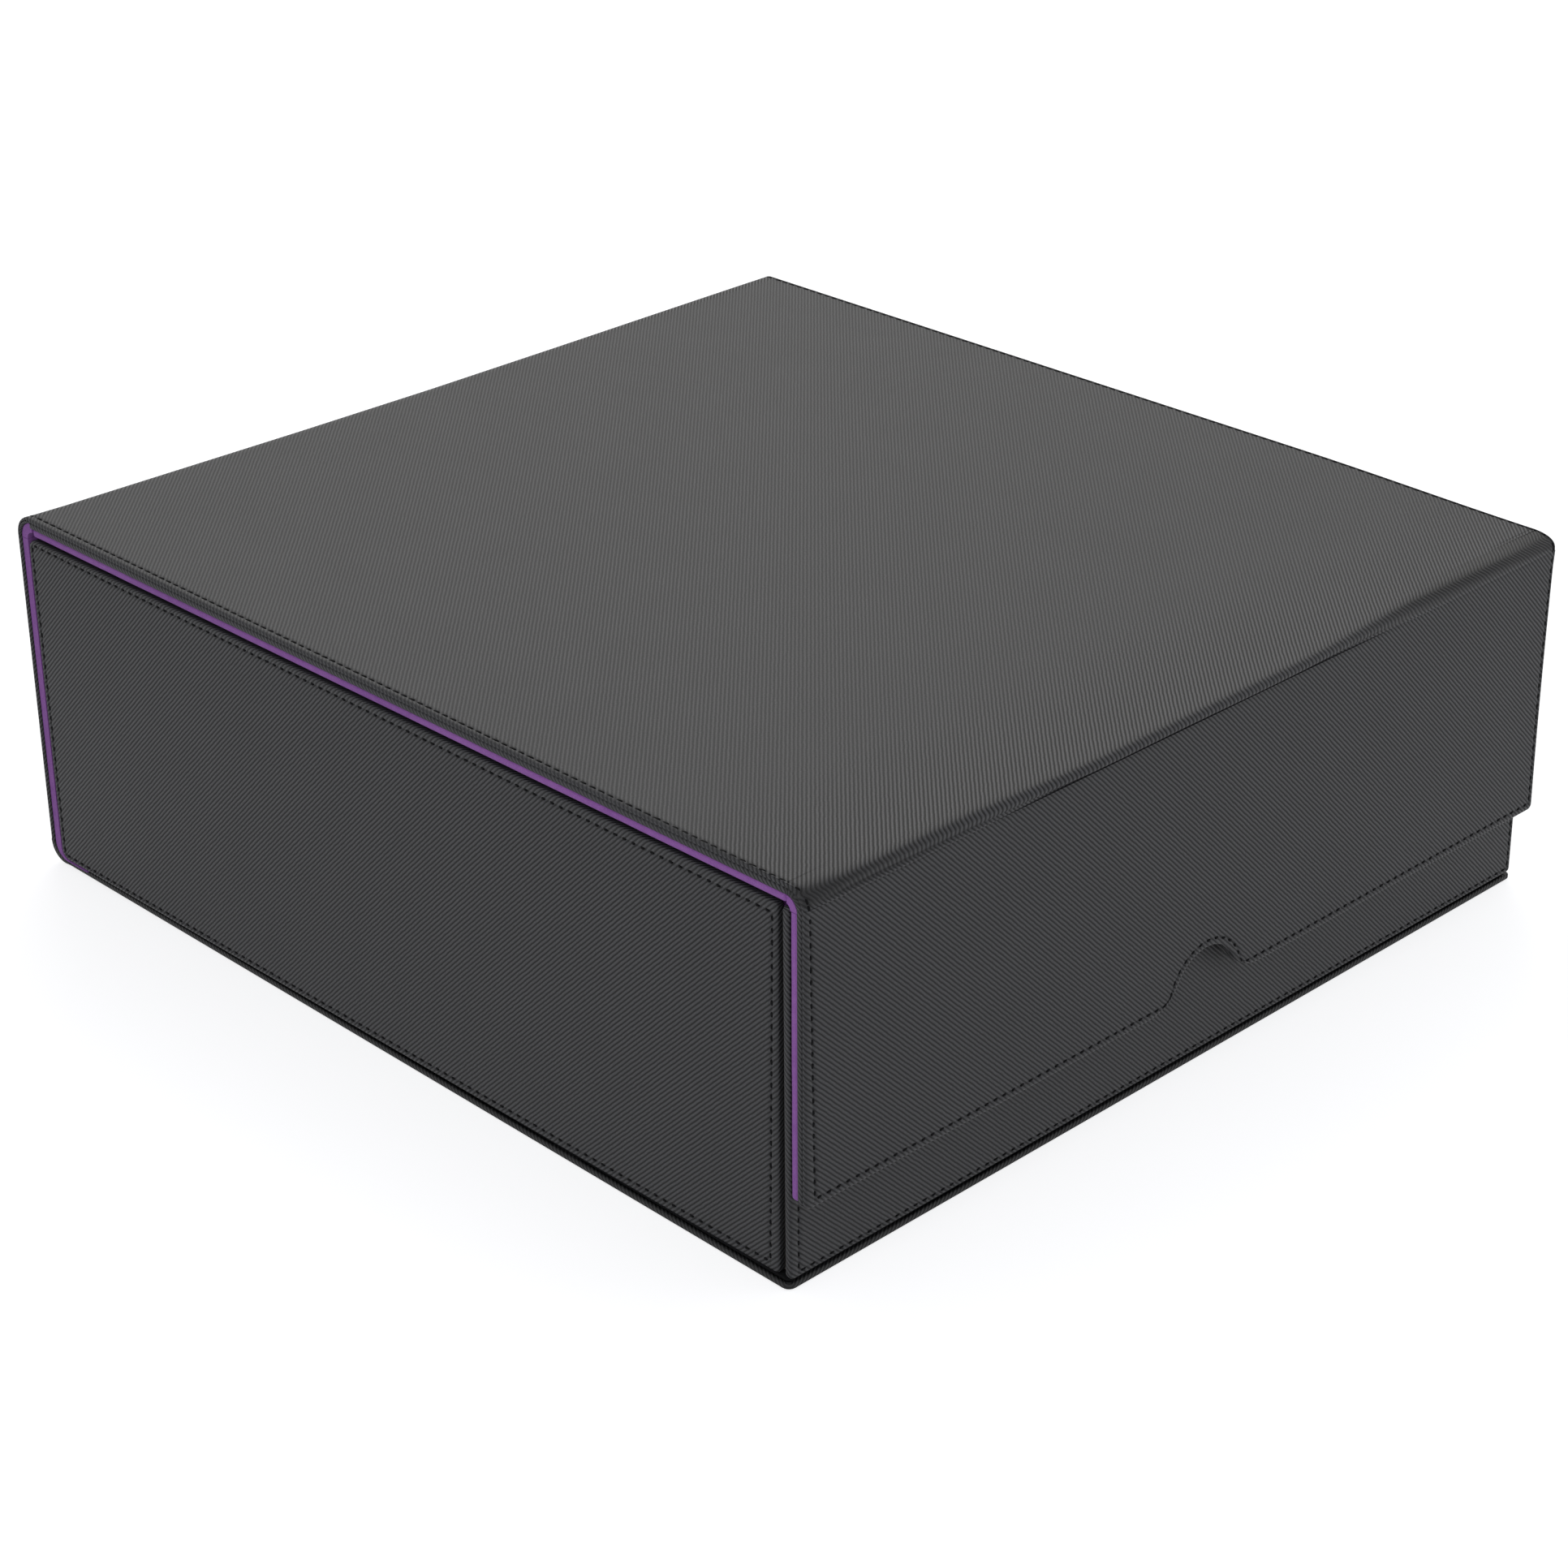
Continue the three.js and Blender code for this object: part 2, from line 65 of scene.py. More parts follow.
# Skin: pitch and relief of its ribs in millimetres, ribs to a millimetre along an axis, and linear colours of its
# ridges and, as painted shade, of its grooves
RIB_PITCH = 1.02
RIB_RELIEF = 0.16
ALONG_RIBS = 1 / (math.sqrt(2) * RIB_PITCH)
RIDGE = (0.0445, 0.0446, 0.0472)
GROOVE_SHADE = (0.0020, 0.0020, 0.0024)
SKIN_ROUGHNESS = 0.46
SKIN_SPECULAR = 0.27
PURPLE = (0.395, 0.157, 0.490)
PURPLE_DEEP = (0.22, 0.072, 0.305)
FELT_SHEEN = (0.75, 0.5, 0.9, 1.0)
BOARD_DARK, GREY_BOARD, BOARD_FLECK = (0.22, 0.205, 0.18), (0.30, 0.28, 0.25), (0.12, 0.11, 0.1)
THREAD, THREAD_PALE = (0.0015, 0.0015, 0.0018), (0.006, 0.006, 0.0065)
PAPER_DARK, PAPER_PALE = (0.004, 0.004, 0.0045), (0.012, 0.012, 0.013)
STEEL_DARK, STEEL_PALE = (0.5, 0.51, 0.53), (0.66, 0.67, 0.69)

# Thickness of a skin with its board, in millimetres
COVER_THICK, BACK_THICK, SIDE_THICK, FRONT_THICK = 3.15, 1.6, 2.6, 2.15

# Edge of a stitched panel: rim, how far the skin turns in on its back, seam line below the rim, and rows of (rim share,
# inset, stitch share, level)
RIM, FOOT = 0.7, 0.8
BACK_INSET = 4.0
SEAM = 1.25
SEAM_SHAPE = ((0.0, -0.28), (0.30, -0.08), (0.32, 0.08), (0.04, 0.30))
SEWN_SHAPE = ((0.5, -0.15, 0.5, 0.05), (0, -0.45, 1, 0.01), (0, -0.15, 1, -0.20), (0, 0.15, 1, -0.20),
              (0, 0.46, 1, -0.02), (0, 1.3, 1, 0.0))

# Stitches, each a mesh of so many rings with so many corners
STITCH_PITCH = 3.22
STITCH_LENGTH = 1.45
STITCH_WIDTH = 0.9
STITCH_PROUD = 0.24
STITCH_LEVEL = -0.10
STITCH_MESH = (7, 8)

# Angles in degrees above which an edge of a mesh is hard, on skins and on copies of solids
SHARP, FELT_SHARP = 50, 35

# Lid: how far its front right corner hangs, from which x and over which y in front. Its rear edge: radius along the
# width, middle and radius of the lining's fold, stitch insets left and right, and the length of the stitched fold.
LID_DROOP = 1.0
DROOP_START, DROOP_FRONT = 40, (70, 150)
REAR_PLACES = (-146, -138, -100, -50, 0, 50, 100, 140)
REAR_RADII = (6.2, 7.2, 7.8, 8.6, 8.6, 7.4, 5.8, 4.7)
REAR_MIDDLE = (149.7, 103.2)
REAR_FELT = 5.1
REAR_STITCH = (2.15, 1.45)
REAR_RUN = 10.5

# Front fold: outer line in depth and height, from the lid to where it lies on the flap. It is an even curve at the
# left end, a bulging roll in the middle and a wider curve at the right end.
FOLD_PLACES = (-146.0, -134.0, -95.0, -55.0, 35.0, 80.0, 125.0, 146.0)
FOLD_EVEN = ((-150.0, 110.0), (-151.9, 109.8), (-153.5, 109.25), (-154.7, 108.4), (-155.5, 107.4),
             (-155.9, 106.5), (-156.1, 105.9), (-156.25, 105.5), (-156.3, 105.1), (-156.3, 104.7))
FOLD_FLAT = ((-150.0, 110.0), (-153.2, 110.0), (-155.2, 109.85), (-156.5, 109.4), (-157.2, 108.6),
             (-157.1, 107.6), (-156.75, 106.7), (-156.45, 106.0), (-156.9, 105.3), (-156.4, 104.4))
FOLD_ROLL = ((-150.0, 110.0), (-155.0, 110.05), (-158.0, 110.0), (-159.4, 109.55), (-159.9, 108.8),
             (-159.8, 108.0), (-159.1, 107.3), (-157.2, 106.4), (-156.3, 105.5), (-156.0, 104.7))
FOLD_SLOPE = ((-150.0, 110.0), (-152.6, 109.95), (-154.3, 109.75), (-155.6, 109.3), (-156.5, 108.6),
              (-156.8, 107.7), (-156.8, 106.8), (-156.7, 105.9), (-156.6, 105.2), (-156.5, 104.7))
FOLD_WIDE = ((-148.6, 110.0), (-151.2, 109.75), (-153.4, 109.2), (-155.0, 108.4), (-156.0, 107.4),
             (-156.4, 106.4), (-156.5, 105.8), (-156.52, 105.4), (-156.52, 105.0), (-156.5, 104.7))
FOLD_LINES = np.array((FOLD_EVEN, FOLD_FLAT, FOLD_FLAT, FOLD_ROLL, FOLD_ROLL, FOLD_SLOPE, FOLD_SLOPE, FOLD_WIDE))
# Middle of its roll, how far from there and between which heights shade is painted on its skin, over how soft an edge,
# and how dark that painted shade is
ROLL_MIDDLE = -25
ROLL_SHADE_ACROSS, ROLL_SHADE_HEIGHTS, ROLL_SHADE_SOFT = (60, 110), (105.3, 109.8), 0.8
ROLL_SHADE_DARK = 0.65

# Front fold: the ends of the linings it joins, the flap's end first and the lid's end second.
FRONT_BEND = ((0, -152.35 * MM, 104.45 * MM), (0, -150.95 * MM, 105.85 * MM))

# Across the front fold the ribs turn from the lid's direction into the flap's: at both ends at once, and in the middle
# over its face, where they run nearly straight down. Shares of the way where the turn starts and ends, and goes back.
RIB_TURN = (0.46, 0.60, 0.75, 0.92)
RIB_TURN_ACROSS = (70, 130)

# Lid: how much its ribs' colour contrast is flattened as painted sheen, over how long a way from the front fold this
# grows, and the level the colour is flattened to
SHEEN_FLATTEN, SHEEN_FLATTEN_OVER, SHEEN_FLATTEN_LEVEL = 0.5, 40, 0.6

# Front fold: middle and radius of the lining's fold, thickness of the folded skin, the degrees over which it lies on
# the lining, how much its line sways, and its gap to the lining, which is also the rear and base folds' gap
FOLD_MIDDLE = (-150.1, 103.6)
FOLD_FELT = 3.2
FOLD_SKIN = 0.6
FOLD_TURN = 70
FOLD_SWAY = 0.10
FOLD_GAP = 0.1

# Foot of the box: how far the front wall leans out at its foot at the left end, middle and right end, and how the
# base is shifted at its front left, front right, rear left and rear right corner
WALL_LEAN = (0.5, 0.9, 1.4)
WALL_MORE = 0.4
BASE_SHIFT = ((-0.6, -0.35), (0.9, -0.9), (1.3, 0.0), (0.0, 0.0))
BASE_RADIUS = 5.2

# Flap: how far its foot stands off at the left end, middle and right end, from how far below its top, over which
# height and by which power; its furrow, which the fold hides near the top; and the notch and its stitches
FLAP_CURL = (0.1, 0.7, 0.9)
CURL_START, CURL_RUN, CURL_POWER = 5, 75, 2.2
FURROW_DEEPEST, FURROW_FROM = -0.25, (1.7, 2.3)
NOTCH_DEPTH, NOTCH_RADIUS, NOTCH_FILLET = 12.6, 12.5, 13.0
NOTCH_STITCH, NOTCH_TURN = 2.0, 3.5

# Felt: how finely its solids are cut, how deep its nap is and how far the front fold's lining reaches past its solid
FELT_STEP, NAP = (9, 9, 9), 0.12
FELT_REACH = (0.22, 0.60)

# Studio light: where the world is brightest, and its strength opposite and there. A lamp has its place, target, size,
# power and colour.
LIGHT_FROM = (0.9, 0.1, 0.9)
LIGHT_LOW, LIGHT_HIGH = 0.25, 0.80
COOL, WARM = (0.965, 0.985, 1.045), (1.0, 0.975, 0.90)
LAMPS = {
    "overhead": ((0.68, 0.74, 1.1), (0, 0, 0.05), 1.0, 6.2, WARM),
    "side": ((-0.62, -0.28, 0.32), (-0.146, -0.10, 0.05), 0.4, 0.8, COOL),
    "front": ((0.65, -0.80, 0.35), (0.10, -0.156, 0.05), 0.4, 1.0, COOL)}
FLOOR_COLOUR, FLOOR_GLOW = 0.45, 0.74
FLOOR_HALF, FLOOR_DROP = 6, 0.0003


def box_mm(node):
    return [tuple(c / MM for c in corner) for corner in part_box(node)]


# Small helpers for node trees
class Tree:
    def __init__(self, name):
        self.material = bpy.data.materials.new(name)
        self.material.use_nodes = True
        self.nodes = self.material.node_tree.nodes
        self.links = self.material.node_tree.links
        self.shader = self.nodes["Principled BSDF"]

    def put(self, socket, value):
        if isinstance(value, bpy.types.NodeSocket):
            self.links.new(value, socket)
        else:
            socket.default_value = value

    def math(self, operation, a, b=0.0):
        node = self.nodes.new("ShaderNodeMath")
        node.operation = operation
        for socket, value in zip(node.inputs, (a, b)):
            self.put(socket, value)
        return node.outputs[0]

    def add(self, a, b):
        return self.math("ADD", a, b)

    def sub(self, a, b):
        return self.math("SUBTRACT", a, b)

    def mul(self, a, b):
        return self.math("MULTIPLY", a, b)

    def mix(self, share, a, b):
        node = self.nodes.new("ShaderNodeMix")
        node.data_type = "RGBA"
        self.put(node.inputs["Factor"], share)
        for socket, value in ((node.inputs[6], a), (node.inputs[7], b)):
            self.put(socket, (*value, 1.0) if isinstance(value, tuple) else value)
        return node.outputs[2]

    def scale_map(self, value, low, high, to_low, to_high):
        node = self.nodes.new("ShaderNodeMapRange")
        for socket, v in zip(node.inputs, (value, low, high, to_low, to_high)):
            self.put(socket, v)
        return node.outputs[0]

    def noise(self, vector, scale, detail=2.0, roughness=0.5):
        node = self.nodes.new("ShaderNodeTexNoise")
        self.put(node.inputs["Vector"], vector)
        node.inputs["Scale"].default_value = scale
        node.inputs["Detail"].default_value = detail
        node.inputs["Roughness"].default_value = roughness
        return node.outputs["Fac"]

    def split(self, vector):
        node = self.nodes.new("ShaderNodeSeparateXYZ")
        self.put(node.inputs[0], vector)
        return node.outputs

    def scaled(self, vector, factor):
        node = self.nodes.new("ShaderNodeVectorMath")
        node.operation = "SCALE"
        self.put(node.inputs[0], vector)
        self.put(node.inputs["Scale"], factor)
        return node.outputs[0]

    def place(self, output="Object"):
        """A texture coordinate in millimetres."""
        coordinates = self.nodes.new("ShaderNodeTexCoord")
        return self.scaled(coordinates.outputs[output], 1 / MM)

    def bump(self, height, distance_mm, strength):
        node = self.nodes.new("ShaderNodeBump")
        node.inputs["Distance"].default_value = distance_mm * MM
        node.inputs["Strength"].default_value = strength
        self.put(node.inputs["Height"], height)
        return node.outputs[0]

    def finish(self, colour, roughness, normal):
        for name, value in (("Base Color", colour), ("Roughness", roughness), ("Normal", normal)):
            self.put(self.shader.inputs[name], value)
        return self.material


# Ribbed skin. Where a sheet goes round an edge, its ribs go on as if the sheet were laid flat.
def skin_from_phase(tree, place, phase, shade_tone=1.0, painted_sheen=None, with_painted_shade=False):
    wobble = tree.noise(place, 0.35, 1.0)
    phase = tree.add(phase, tree.mul(tree.sub(wobble, 0.5), 0.25))
    wave = tree.math("COSINE", tree.mul(phase, 2 * math.pi))
    ridge = tree.scale_map(wave, -0.75, 0.55, 0.0, 1.0)
    # Painted sheen: the ribs' colour contrast is flattened towards an even level
    if painted_sheen:
        ridge = tree.add(tree.mul(ridge, tree.sub(1.0, painted_sheen)), tree.mul(painted_sheen, SHEEN_FLATTEN_LEVEL))
    grain = tree.noise(place, 1.7, 3.0, 0.65)
    blotch = tree.noise(place, 0.045, 2.0)
    lift = tree.add(tree.scale_map(grain, 0.3, 0.7, 0.78, 1.22), tree.scale_map(blotch, 0.3, 0.7, -0.06, 0.06))
    # Painted shade on the front fold's face, read from a point attribute of its mesh
    if with_painted_shade:
        mark = tree.nodes.new("ShaderNodeAttribute")
        mark.attribute_name = "painted_shade"
        lift = tree.mul(lift, tree.sub(1.0, tree.mul(mark.outputs["Fac"], ROLL_SHADE_DARK)))
    # Ridges take the skin's colour. The grooves' much darker colour is painted shade, since the ribs are only a bump.
    toned = tree.scaled([c * shade_tone for c in RIDGE], lift)
    colour = tree.mix(ridge, tuple(c * shade_tone for c in GROOVE_SHADE), toned)
    high = tree.add(ridge, tree.mul(grain, 0.4))
    roughness = tree.scale_map(high, 0.0, 1.4, SKIN_ROUGHNESS + 0.22, SKIN_ROUGHNESS - 0.05)
    height = tree.add(tree.mul(wave, 0.5), tree.mul(grain, 0.35))
    normal = tree.bump(height, RIB_RELIEF, 0.85)
    tree.shader.inputs["Specular IOR Level"].default_value = SKIN_SPECULAR
    return tree.finish(colour, roughness, normal)


def divider_skin():
    """Skin of the dividers, whose solids have no UV map: x and z lie in their face, which looks to the front."""
    tree = Tree("skin_divider")
    place = tree.place()
    x, y, z = tree.split(place)
    normal = tree.nodes.new("ShaderNodeTexCoord").outputs["Normal"]
    side, _, up = tree.split(normal)
    depth = tree.mul(tree.sub(y, BOXES["divider_1"][0][1]), -1)
    across_side = tree.math("GREATER_THAN", tree.math("ABSOLUTE", side), tree.math("ABSOLUTE", up))
    across_up = tree.sub(1.0, across_side)
    laid_x = tree.sub(x, tree.mul(tree.mul(tree.math("SIGN", side), across_side), depth))
    laid_z = tree.sub(z, tree.mul(tree.mul(tree.math("SIGN", up), across_up), depth))
    phase = tree.add(tree.mul(laid_x, ALONG_RIBS), tree.mul(laid_z, ALONG_RIBS))
    return skin_from_phase(tree, place, phase)


def felt():
    tree = Tree("purple_felt")
    place = tree.place()
    fuzz = tree.noise(place, 2.4, 4.0, 0.7)
    pile = tree.noise(place, 0.35, 3.0, 0.6)
    brushed = tree.noise(place, 0.03, 2.0)
    share = tree.add(tree.mul(fuzz, 0.55), tree.add(tree.mul(pile, 0.3), tree.mul(brushed, 0.35)))
    colour = tree.mix(tree.scale_map(share, 0.35, 0.8, 0.0, 1.0), PURPLE_DEEP, PURPLE)
    normal = tree.bump(tree.add(fuzz, tree.mul(pile, 0.6)), 0.35, 0.8)
    tree.shader.inputs["Specular IOR Level"].default_value = 0.15
    tree.shader.inputs["Sheen Weight"].default_value = 0.35
    tree.shader.inputs["Sheen Roughness"].default_value = 0.5
    tree.shader.inputs["Sheen Tint"].default_value = FELT_SHEEN
    return tree.finish(colour, 0.92, normal)


def board():
    tree = Tree("grey_board")
    place = tree.place()
    fibres = tree.noise(place, 1.1, 4.0, 0.7)
    flecks = tree.math("GREATER_THAN", tree.noise(place, 2.2, 1.0), 0.68)
    colour = tree.mix(tree.scale_map(fibres, 0.3, 0.7, 0.0, 1.0), BOARD_DARK, GREY_BOARD)
    colour = tree.mix(tree.mul(flecks, 0.4), colour, BOARD_FLECK)
    return tree.finish(colour, 0.9, tree.bump(fibres, 0.1, 0.5))


def thread():
    tree = Tree("black_thread")
    place = tree.place()
    twist = tree.noise(place, 4.0, 2.0)
    colour = tree.mix(twist, THREAD, THREAD_PALE)
    tree.shader.inputs["Specular IOR Level"].default_value = 0.06
    return tree.finish(colour, 0.6, tree.bump(twist, 0.05, 0.5))


def dark_paper():
    tree = Tree("black_paper")
    place = tree.place()
    grain = tree.noise(place, 1.5, 3.0)
    colour = tree.mix(grain, PAPER_DARK, PAPER_PALE)
    tree.shader.inputs["Specular IOR Level"].default_value = 0.08
    return tree.finish(colour, 0.9, tree.bump(grain, 0.05, 0.4))


def plated():
    tree = Tree("plated_steel")
    place = tree.place()
    brushed = tree.noise(place, 1.4, 3.0)
    tree.shader.inputs["Metallic"].default_value = 1.0
    colour = tree.mix(brushed, STEEL_DARK, STEEL_PALE)
    return tree.finish(colour, tree.scale_map(brushed, 0.3, 0.7, 0.25, 0.4), tree.bump(brushed, 0.02, 0.3))


# Sizes that the CAD gives, in millimetres
BOXES = {name: box_mm(name) for name in nodes}
WIDE = BOXES["top_skin"][1][0]
ROOF = BOXES["top_skin"][1][2]
FLAP_LOW, FLAP_HIGH = BOXES["flap_skin"]
FLAP_FACE = FLAP_LOW[1]
REAR_FACE = BOXES["back_skin"][1][1]
REAR_TOP = BOXES["back_skin"][1][2]
LID_REAR = BOXES["top_skin"][1][1]
LEFT_LOW, LEFT_HIGH = BOXES["left_wall_skin"]
FRONT_LOW, FRONT_HIGH = BOXES["front_wall_skin"]
BASE_LOW, BASE_HIGH = BOXES["base_skin"]
BACK_LOW = BOXES["back_skin"][0][2]
BASE_RUN = BACK_LOW - BASE_RADIUS + BASE_RADIUS * math.pi / 2 + (REAR_FACE - BASE_RADIUS - BASE_HIGH[1])


def ease(value, low, high):
    share = np.clip((value - low) / (high - low), 0.0, 1.0)
    return float(share * share * (3 - 2 * share))


def arc(cu, cv, radius, start, end, steps):
    angles = np.radians(np.linspace(start, end, steps + 1))
    return [(cu + radius * math.cos(a), cv + radius * math.sin(a)) for a in angles]


# Mappings from a panel laid flat (u along, v across, w outward) to its place
def lid_droop(x, y):
    """The lid hangs a little at its front right corner."""
    return LID_DROOP * ease(x, DROOP_START, WIDE) * ease(-y, *DROOP_FRONT)


def lid_place(x, u, w):
    """Top of the cover: flat, then round the rear edge, whose radius changes along the width."""
    radius = float(np.interp(x, REAR_PLACES, REAR_RADII))
    turn = REAR_FACE - radius
    angle = (u - turn) / radius
    if angle <= 0:
        y, z = u, ROOF + w
    elif angle < math.pi / 2:
        y = turn + (radius + w) * math.sin(angle)
        z = ROOF - radius + (radius + w) * math.cos(angle)
    else:
        y, z = REAR_FACE + w, ROOF - radius * (1 - math.pi / 2) - (u - turn)
    return np.array((x, y, z - lid_droop(x, u)))


def rear_end(x):
    """Where the rear fold ends, laid flat."""
    radius = float(np.interp(x, REAR_PLACES, REAR_RADII))
    return REAR_FACE - radius + radius * math.pi / 2 + (ROOF - radius - REAR_TOP)


def toward_lining(point, depth, thick, middle, radius, angle):
    """A point of the outer line moved inward until it lies on the lining's fold."""
    inner = np.array(middle) + (radius + FOLD_GAP) * np.array((math.cos(angle), math.sin(angle)))
    return point + (inner - point) * (depth - FOLD_SKIN) / (thick - FOLD_SKIN)


def rear_place(x, t, w):
    """Rear fold, from the lid at 0 to the back at 1: as thick as each of them there."""
    u = LID_REAR + (rear_end(x) - LID_REAR) * t
    point = lid_place(x, u, max(w, -FOLD_SKIN))
    if w < -FOLD_SKIN:
        point[1:] = toward_lining(point[1:], -w, COVER_THICK, REAR_MIDDLE, REAR_FELT, math.pi / 2 * (1 - t))
    return point


def fold_outer(x, t):
    """Outer line of the front fold at a place across the width, from the lid at 0 to the tuck at 1."""
    flat = FOLD_LINES.reshape(len(FOLD_PLACES), -1)
    line = np.array([np.interp(x, FOLD_PLACES, column) for column in flat.T]).reshape(-1, 2)

    def at(share):
        place = min(max(share, 0.0), 1.0) * (len(line) - 1)
        i = min(int(place), len(line) - 2)
        s = place - i
        p0, p1, p2, p3 = (line[min(max(k, 0), len(line) - 1)] for k in (i - 1, i, i + 1, i + 2))
        return 0.5 * (2 * p1 + (p2 - p0) * s + (2 * p0 - 5 * p1 + 4 * p2 - p3) * s ** 2
                      + (3 * p1 - 3 * p2 + p3 - p0) * s ** 3)

    step = at(t + 0.02) - at(t - 0.02)
    step /= np.linalg.norm(step)
    normal = np.array((step[1], -step[0]))
    sway = FOLD_SWAY * (0.6 * math.sin(x * 0.11) + 0.4 * math.sin(x * 0.043 + 1.3)) * math.sin(math.pi * t)
    return at(t) + normal * sway, normal


def fold_place(x, t, w):
    """Front fold: as thick as the lid where it starts, and down to the lining's fold all the way."""
    outer, normal = fold_outer(x, t)
    point = outer + normal * max(w, -FOLD_SKIN)
    if w < -FOLD_SKIN:
        angle = math.radians(90 + FOLD_TURN * t)
        point = toward_lining(point, -w, COVER_THICK, FOLD_MIDDLE, FOLD_FELT, angle)
    y, z = point
    return np.array((x, y, z - lid_droop(x, y) * (1 - t)))


def fold_run(x, steps=24):
    """Length of the front fold's outer line."""
    line = np.array([fold_outer(x, i / steps)[0] for i in range(steps + 1)])
    return float(np.sum(np.linalg.norm(np.diff(line, axis=0), axis=1)))


def flap_curl(x, z):
    """The flap stands off a little towards its foot, more at its right end."""
    away = float(np.interp(x, (-WIDE, 0, WIDE), FLAP_CURL))
    return away * max(0.0, (FLAP_HIGH[2] - CURL_START - z) / CURL_RUN) ** CURL_POWER


def flap_place(x, z, w):
    return np.array((x, FLAP_FACE - flap_curl(x, z) - w, z))


def left_place(y, z, w):
    return np.array((LEFT_LOW[0] - w, y, z))


def right_place(y, z, w):
    return np.array((-LEFT_LOW[0] + w, y, z))


def wall_lean(x, z):
    away = float(np.interp(x, (-WIDE, 0, WIDE), WALL_LEAN))
    return away * min(max((FRONT_HIGH[2] - z) / (FRONT_HIGH[2] - FRONT_LOW[2]), 0.0), 1.0)


def front_wall_place(x, z, w):
    return np.array((x, FRONT_LOW[1] - wall_lean(x, z) - w, z))


def base_shift(x, y, z=0.0):
    a = (x + WIDE) / (2 * WIDE)
    b = min(max((y - BASE_LOW[1]) / (BASE_HIGH[1] - BASE_LOW[1]), 0.0), 1.0)
    front_left, front_right, rear_left, rear_right = (np.array((*s, 0.0)) for s in BASE_SHIFT)
    return (front_left * (1 - a) + front_right * a) * (1 - b) + (rear_left * (1 - a) + rear_right * a) * b


def base_place(x, y, w):
    return np.array((x, y, -w)) + base_shift(x, y)


def base_fold_place(x, s, w):
    """Fold under the back: down the back, round the edge and forward under the box."""
    radius, depth = BASE_RADIUS, max(w, -FOLD_SKIN)
    straight = BACK_LOW - radius
    angle = min(max((s - straight) / radius, 0.0), math.pi / 2)
    y = REAR_FACE - radius + (radius + depth) * math.cos(angle) - max(s - straight - radius * math.pi / 2, 0.0)
    z = radius - (radius + depth) * math.sin(angle) + max(straight - s, 0.0)
    if w < -FOLD_SKIN:
        middle = (REAR_MIDDLE[0], REAR_FELT + BACK_THICK + FOLD_GAP)
        y, z = toward_lining(np.array((y, z)), -w, BACK_THICK, middle, REAR_FELT, -math.pi / 2 * s / BASE_RUN)
    return np.array((x, y, z)) + base_shift(x, y) * s / BASE_RUN


def back_place(x, z, w):
    return np.array((x, REAR_FACE + w, z))


# Rows across an edge, from the back of the panel to its face. A row is drawn in by its own inset plus a share
# of the stitch line's inset, and keeps the inset it has when the skin is laid flat.
def edge_rows(thick, rim=RIM, foot=FOOT, seam=None):
    quarter = np.linspace(0, math.pi / 2, 5)
    walk = [(rim * (1 - math.sin(a)), -rim * (1 - math.cos(a))) for a in quarter]
    if seam:
        walk += [(inset, -seam - drop) for inset, drop in SEAM_SHAPE]
    walk += [(foot * (1 - math.cos(a)), -thick + foot * (1 - math.sin(a))) for a in quarter]
    walk.append((BACK_INSET, -thick))
    steps = np.linalg.norm(np.diff(np.array(walk), axis=0), axis=1)
    laid = rim - np.concatenate([[0], np.cumsum(steps)])
    rows = [(inset, 0.0, w, s, 0.0) for (inset, w), s in zip(walk, laid)][::-1]
    rows += [(rim * r + a, b, w, rim * r + a, b) for r, a, b, w in SEWN_SHAPE]
    return rows


def tidy_mesh(piece, sharp):
    """Normals outward, and hard edges where faces meet at more than an angle."""
    work = bmesh.new()
    work.from_mesh(piece.data)
    bmesh.ops.recalc_face_normals(work, faces=work.faces)
    for edge in work.edges:
        if len(edge.link_faces) == 2 and edge.calc_face_angle(0.0) > math.radians(sharp):
            edge.smooth = False
    work.to_mesh(piece.data)
    work.free()


def add_piece(name, mesh, material, sharp=SHARP):
    """An object of a mesh, smooth but for its hard edges."""
    mesh.materials.append(material)
    mesh.polygons.foreach_set("use_smooth", [True] * len(mesh.polygons))
    piece = bpy.data.objects.new(name, mesh)
    bpy.context.scene.collection.objects.link(piece)
    tidy_mesh(piece, sharp)
    return piece


def mesh_of(work, name):
    mesh = bpy.data.meshes.new(name)
    work.to_mesh(mesh)
    work.free()
    return mesh


def cut(work, axis, at):
    """Cuts a mesh along a plane square to an axis."""
    point, normal = [0.0, 0.0, 0.0], [0.0, 0.0, 0.0]
    point[axis], normal[axis] = at, 1.0
    bmesh.ops.bisect_plane(work, geom=work.verts[:] + work.edges[:] + work.faces[:], plane_co=point, plane_no=normal)


def new_piece(name, points, faces, material, uvs=None, sharp=SHARP):
    mesh = bpy.data.meshes.new(name)
    mesh.from_pydata([tuple(np.array(p) * MM) for p in points], [], faces)
    if uvs is not None:
        layer = mesh.uv_layers.new(name="UVMap")
        for loop in mesh.loops:
            layer.data[loop.index].uv = tuple(np.array(uvs[loop.vertex_index]) * MM)
    return add_piece(name, mesh, material, sharp)


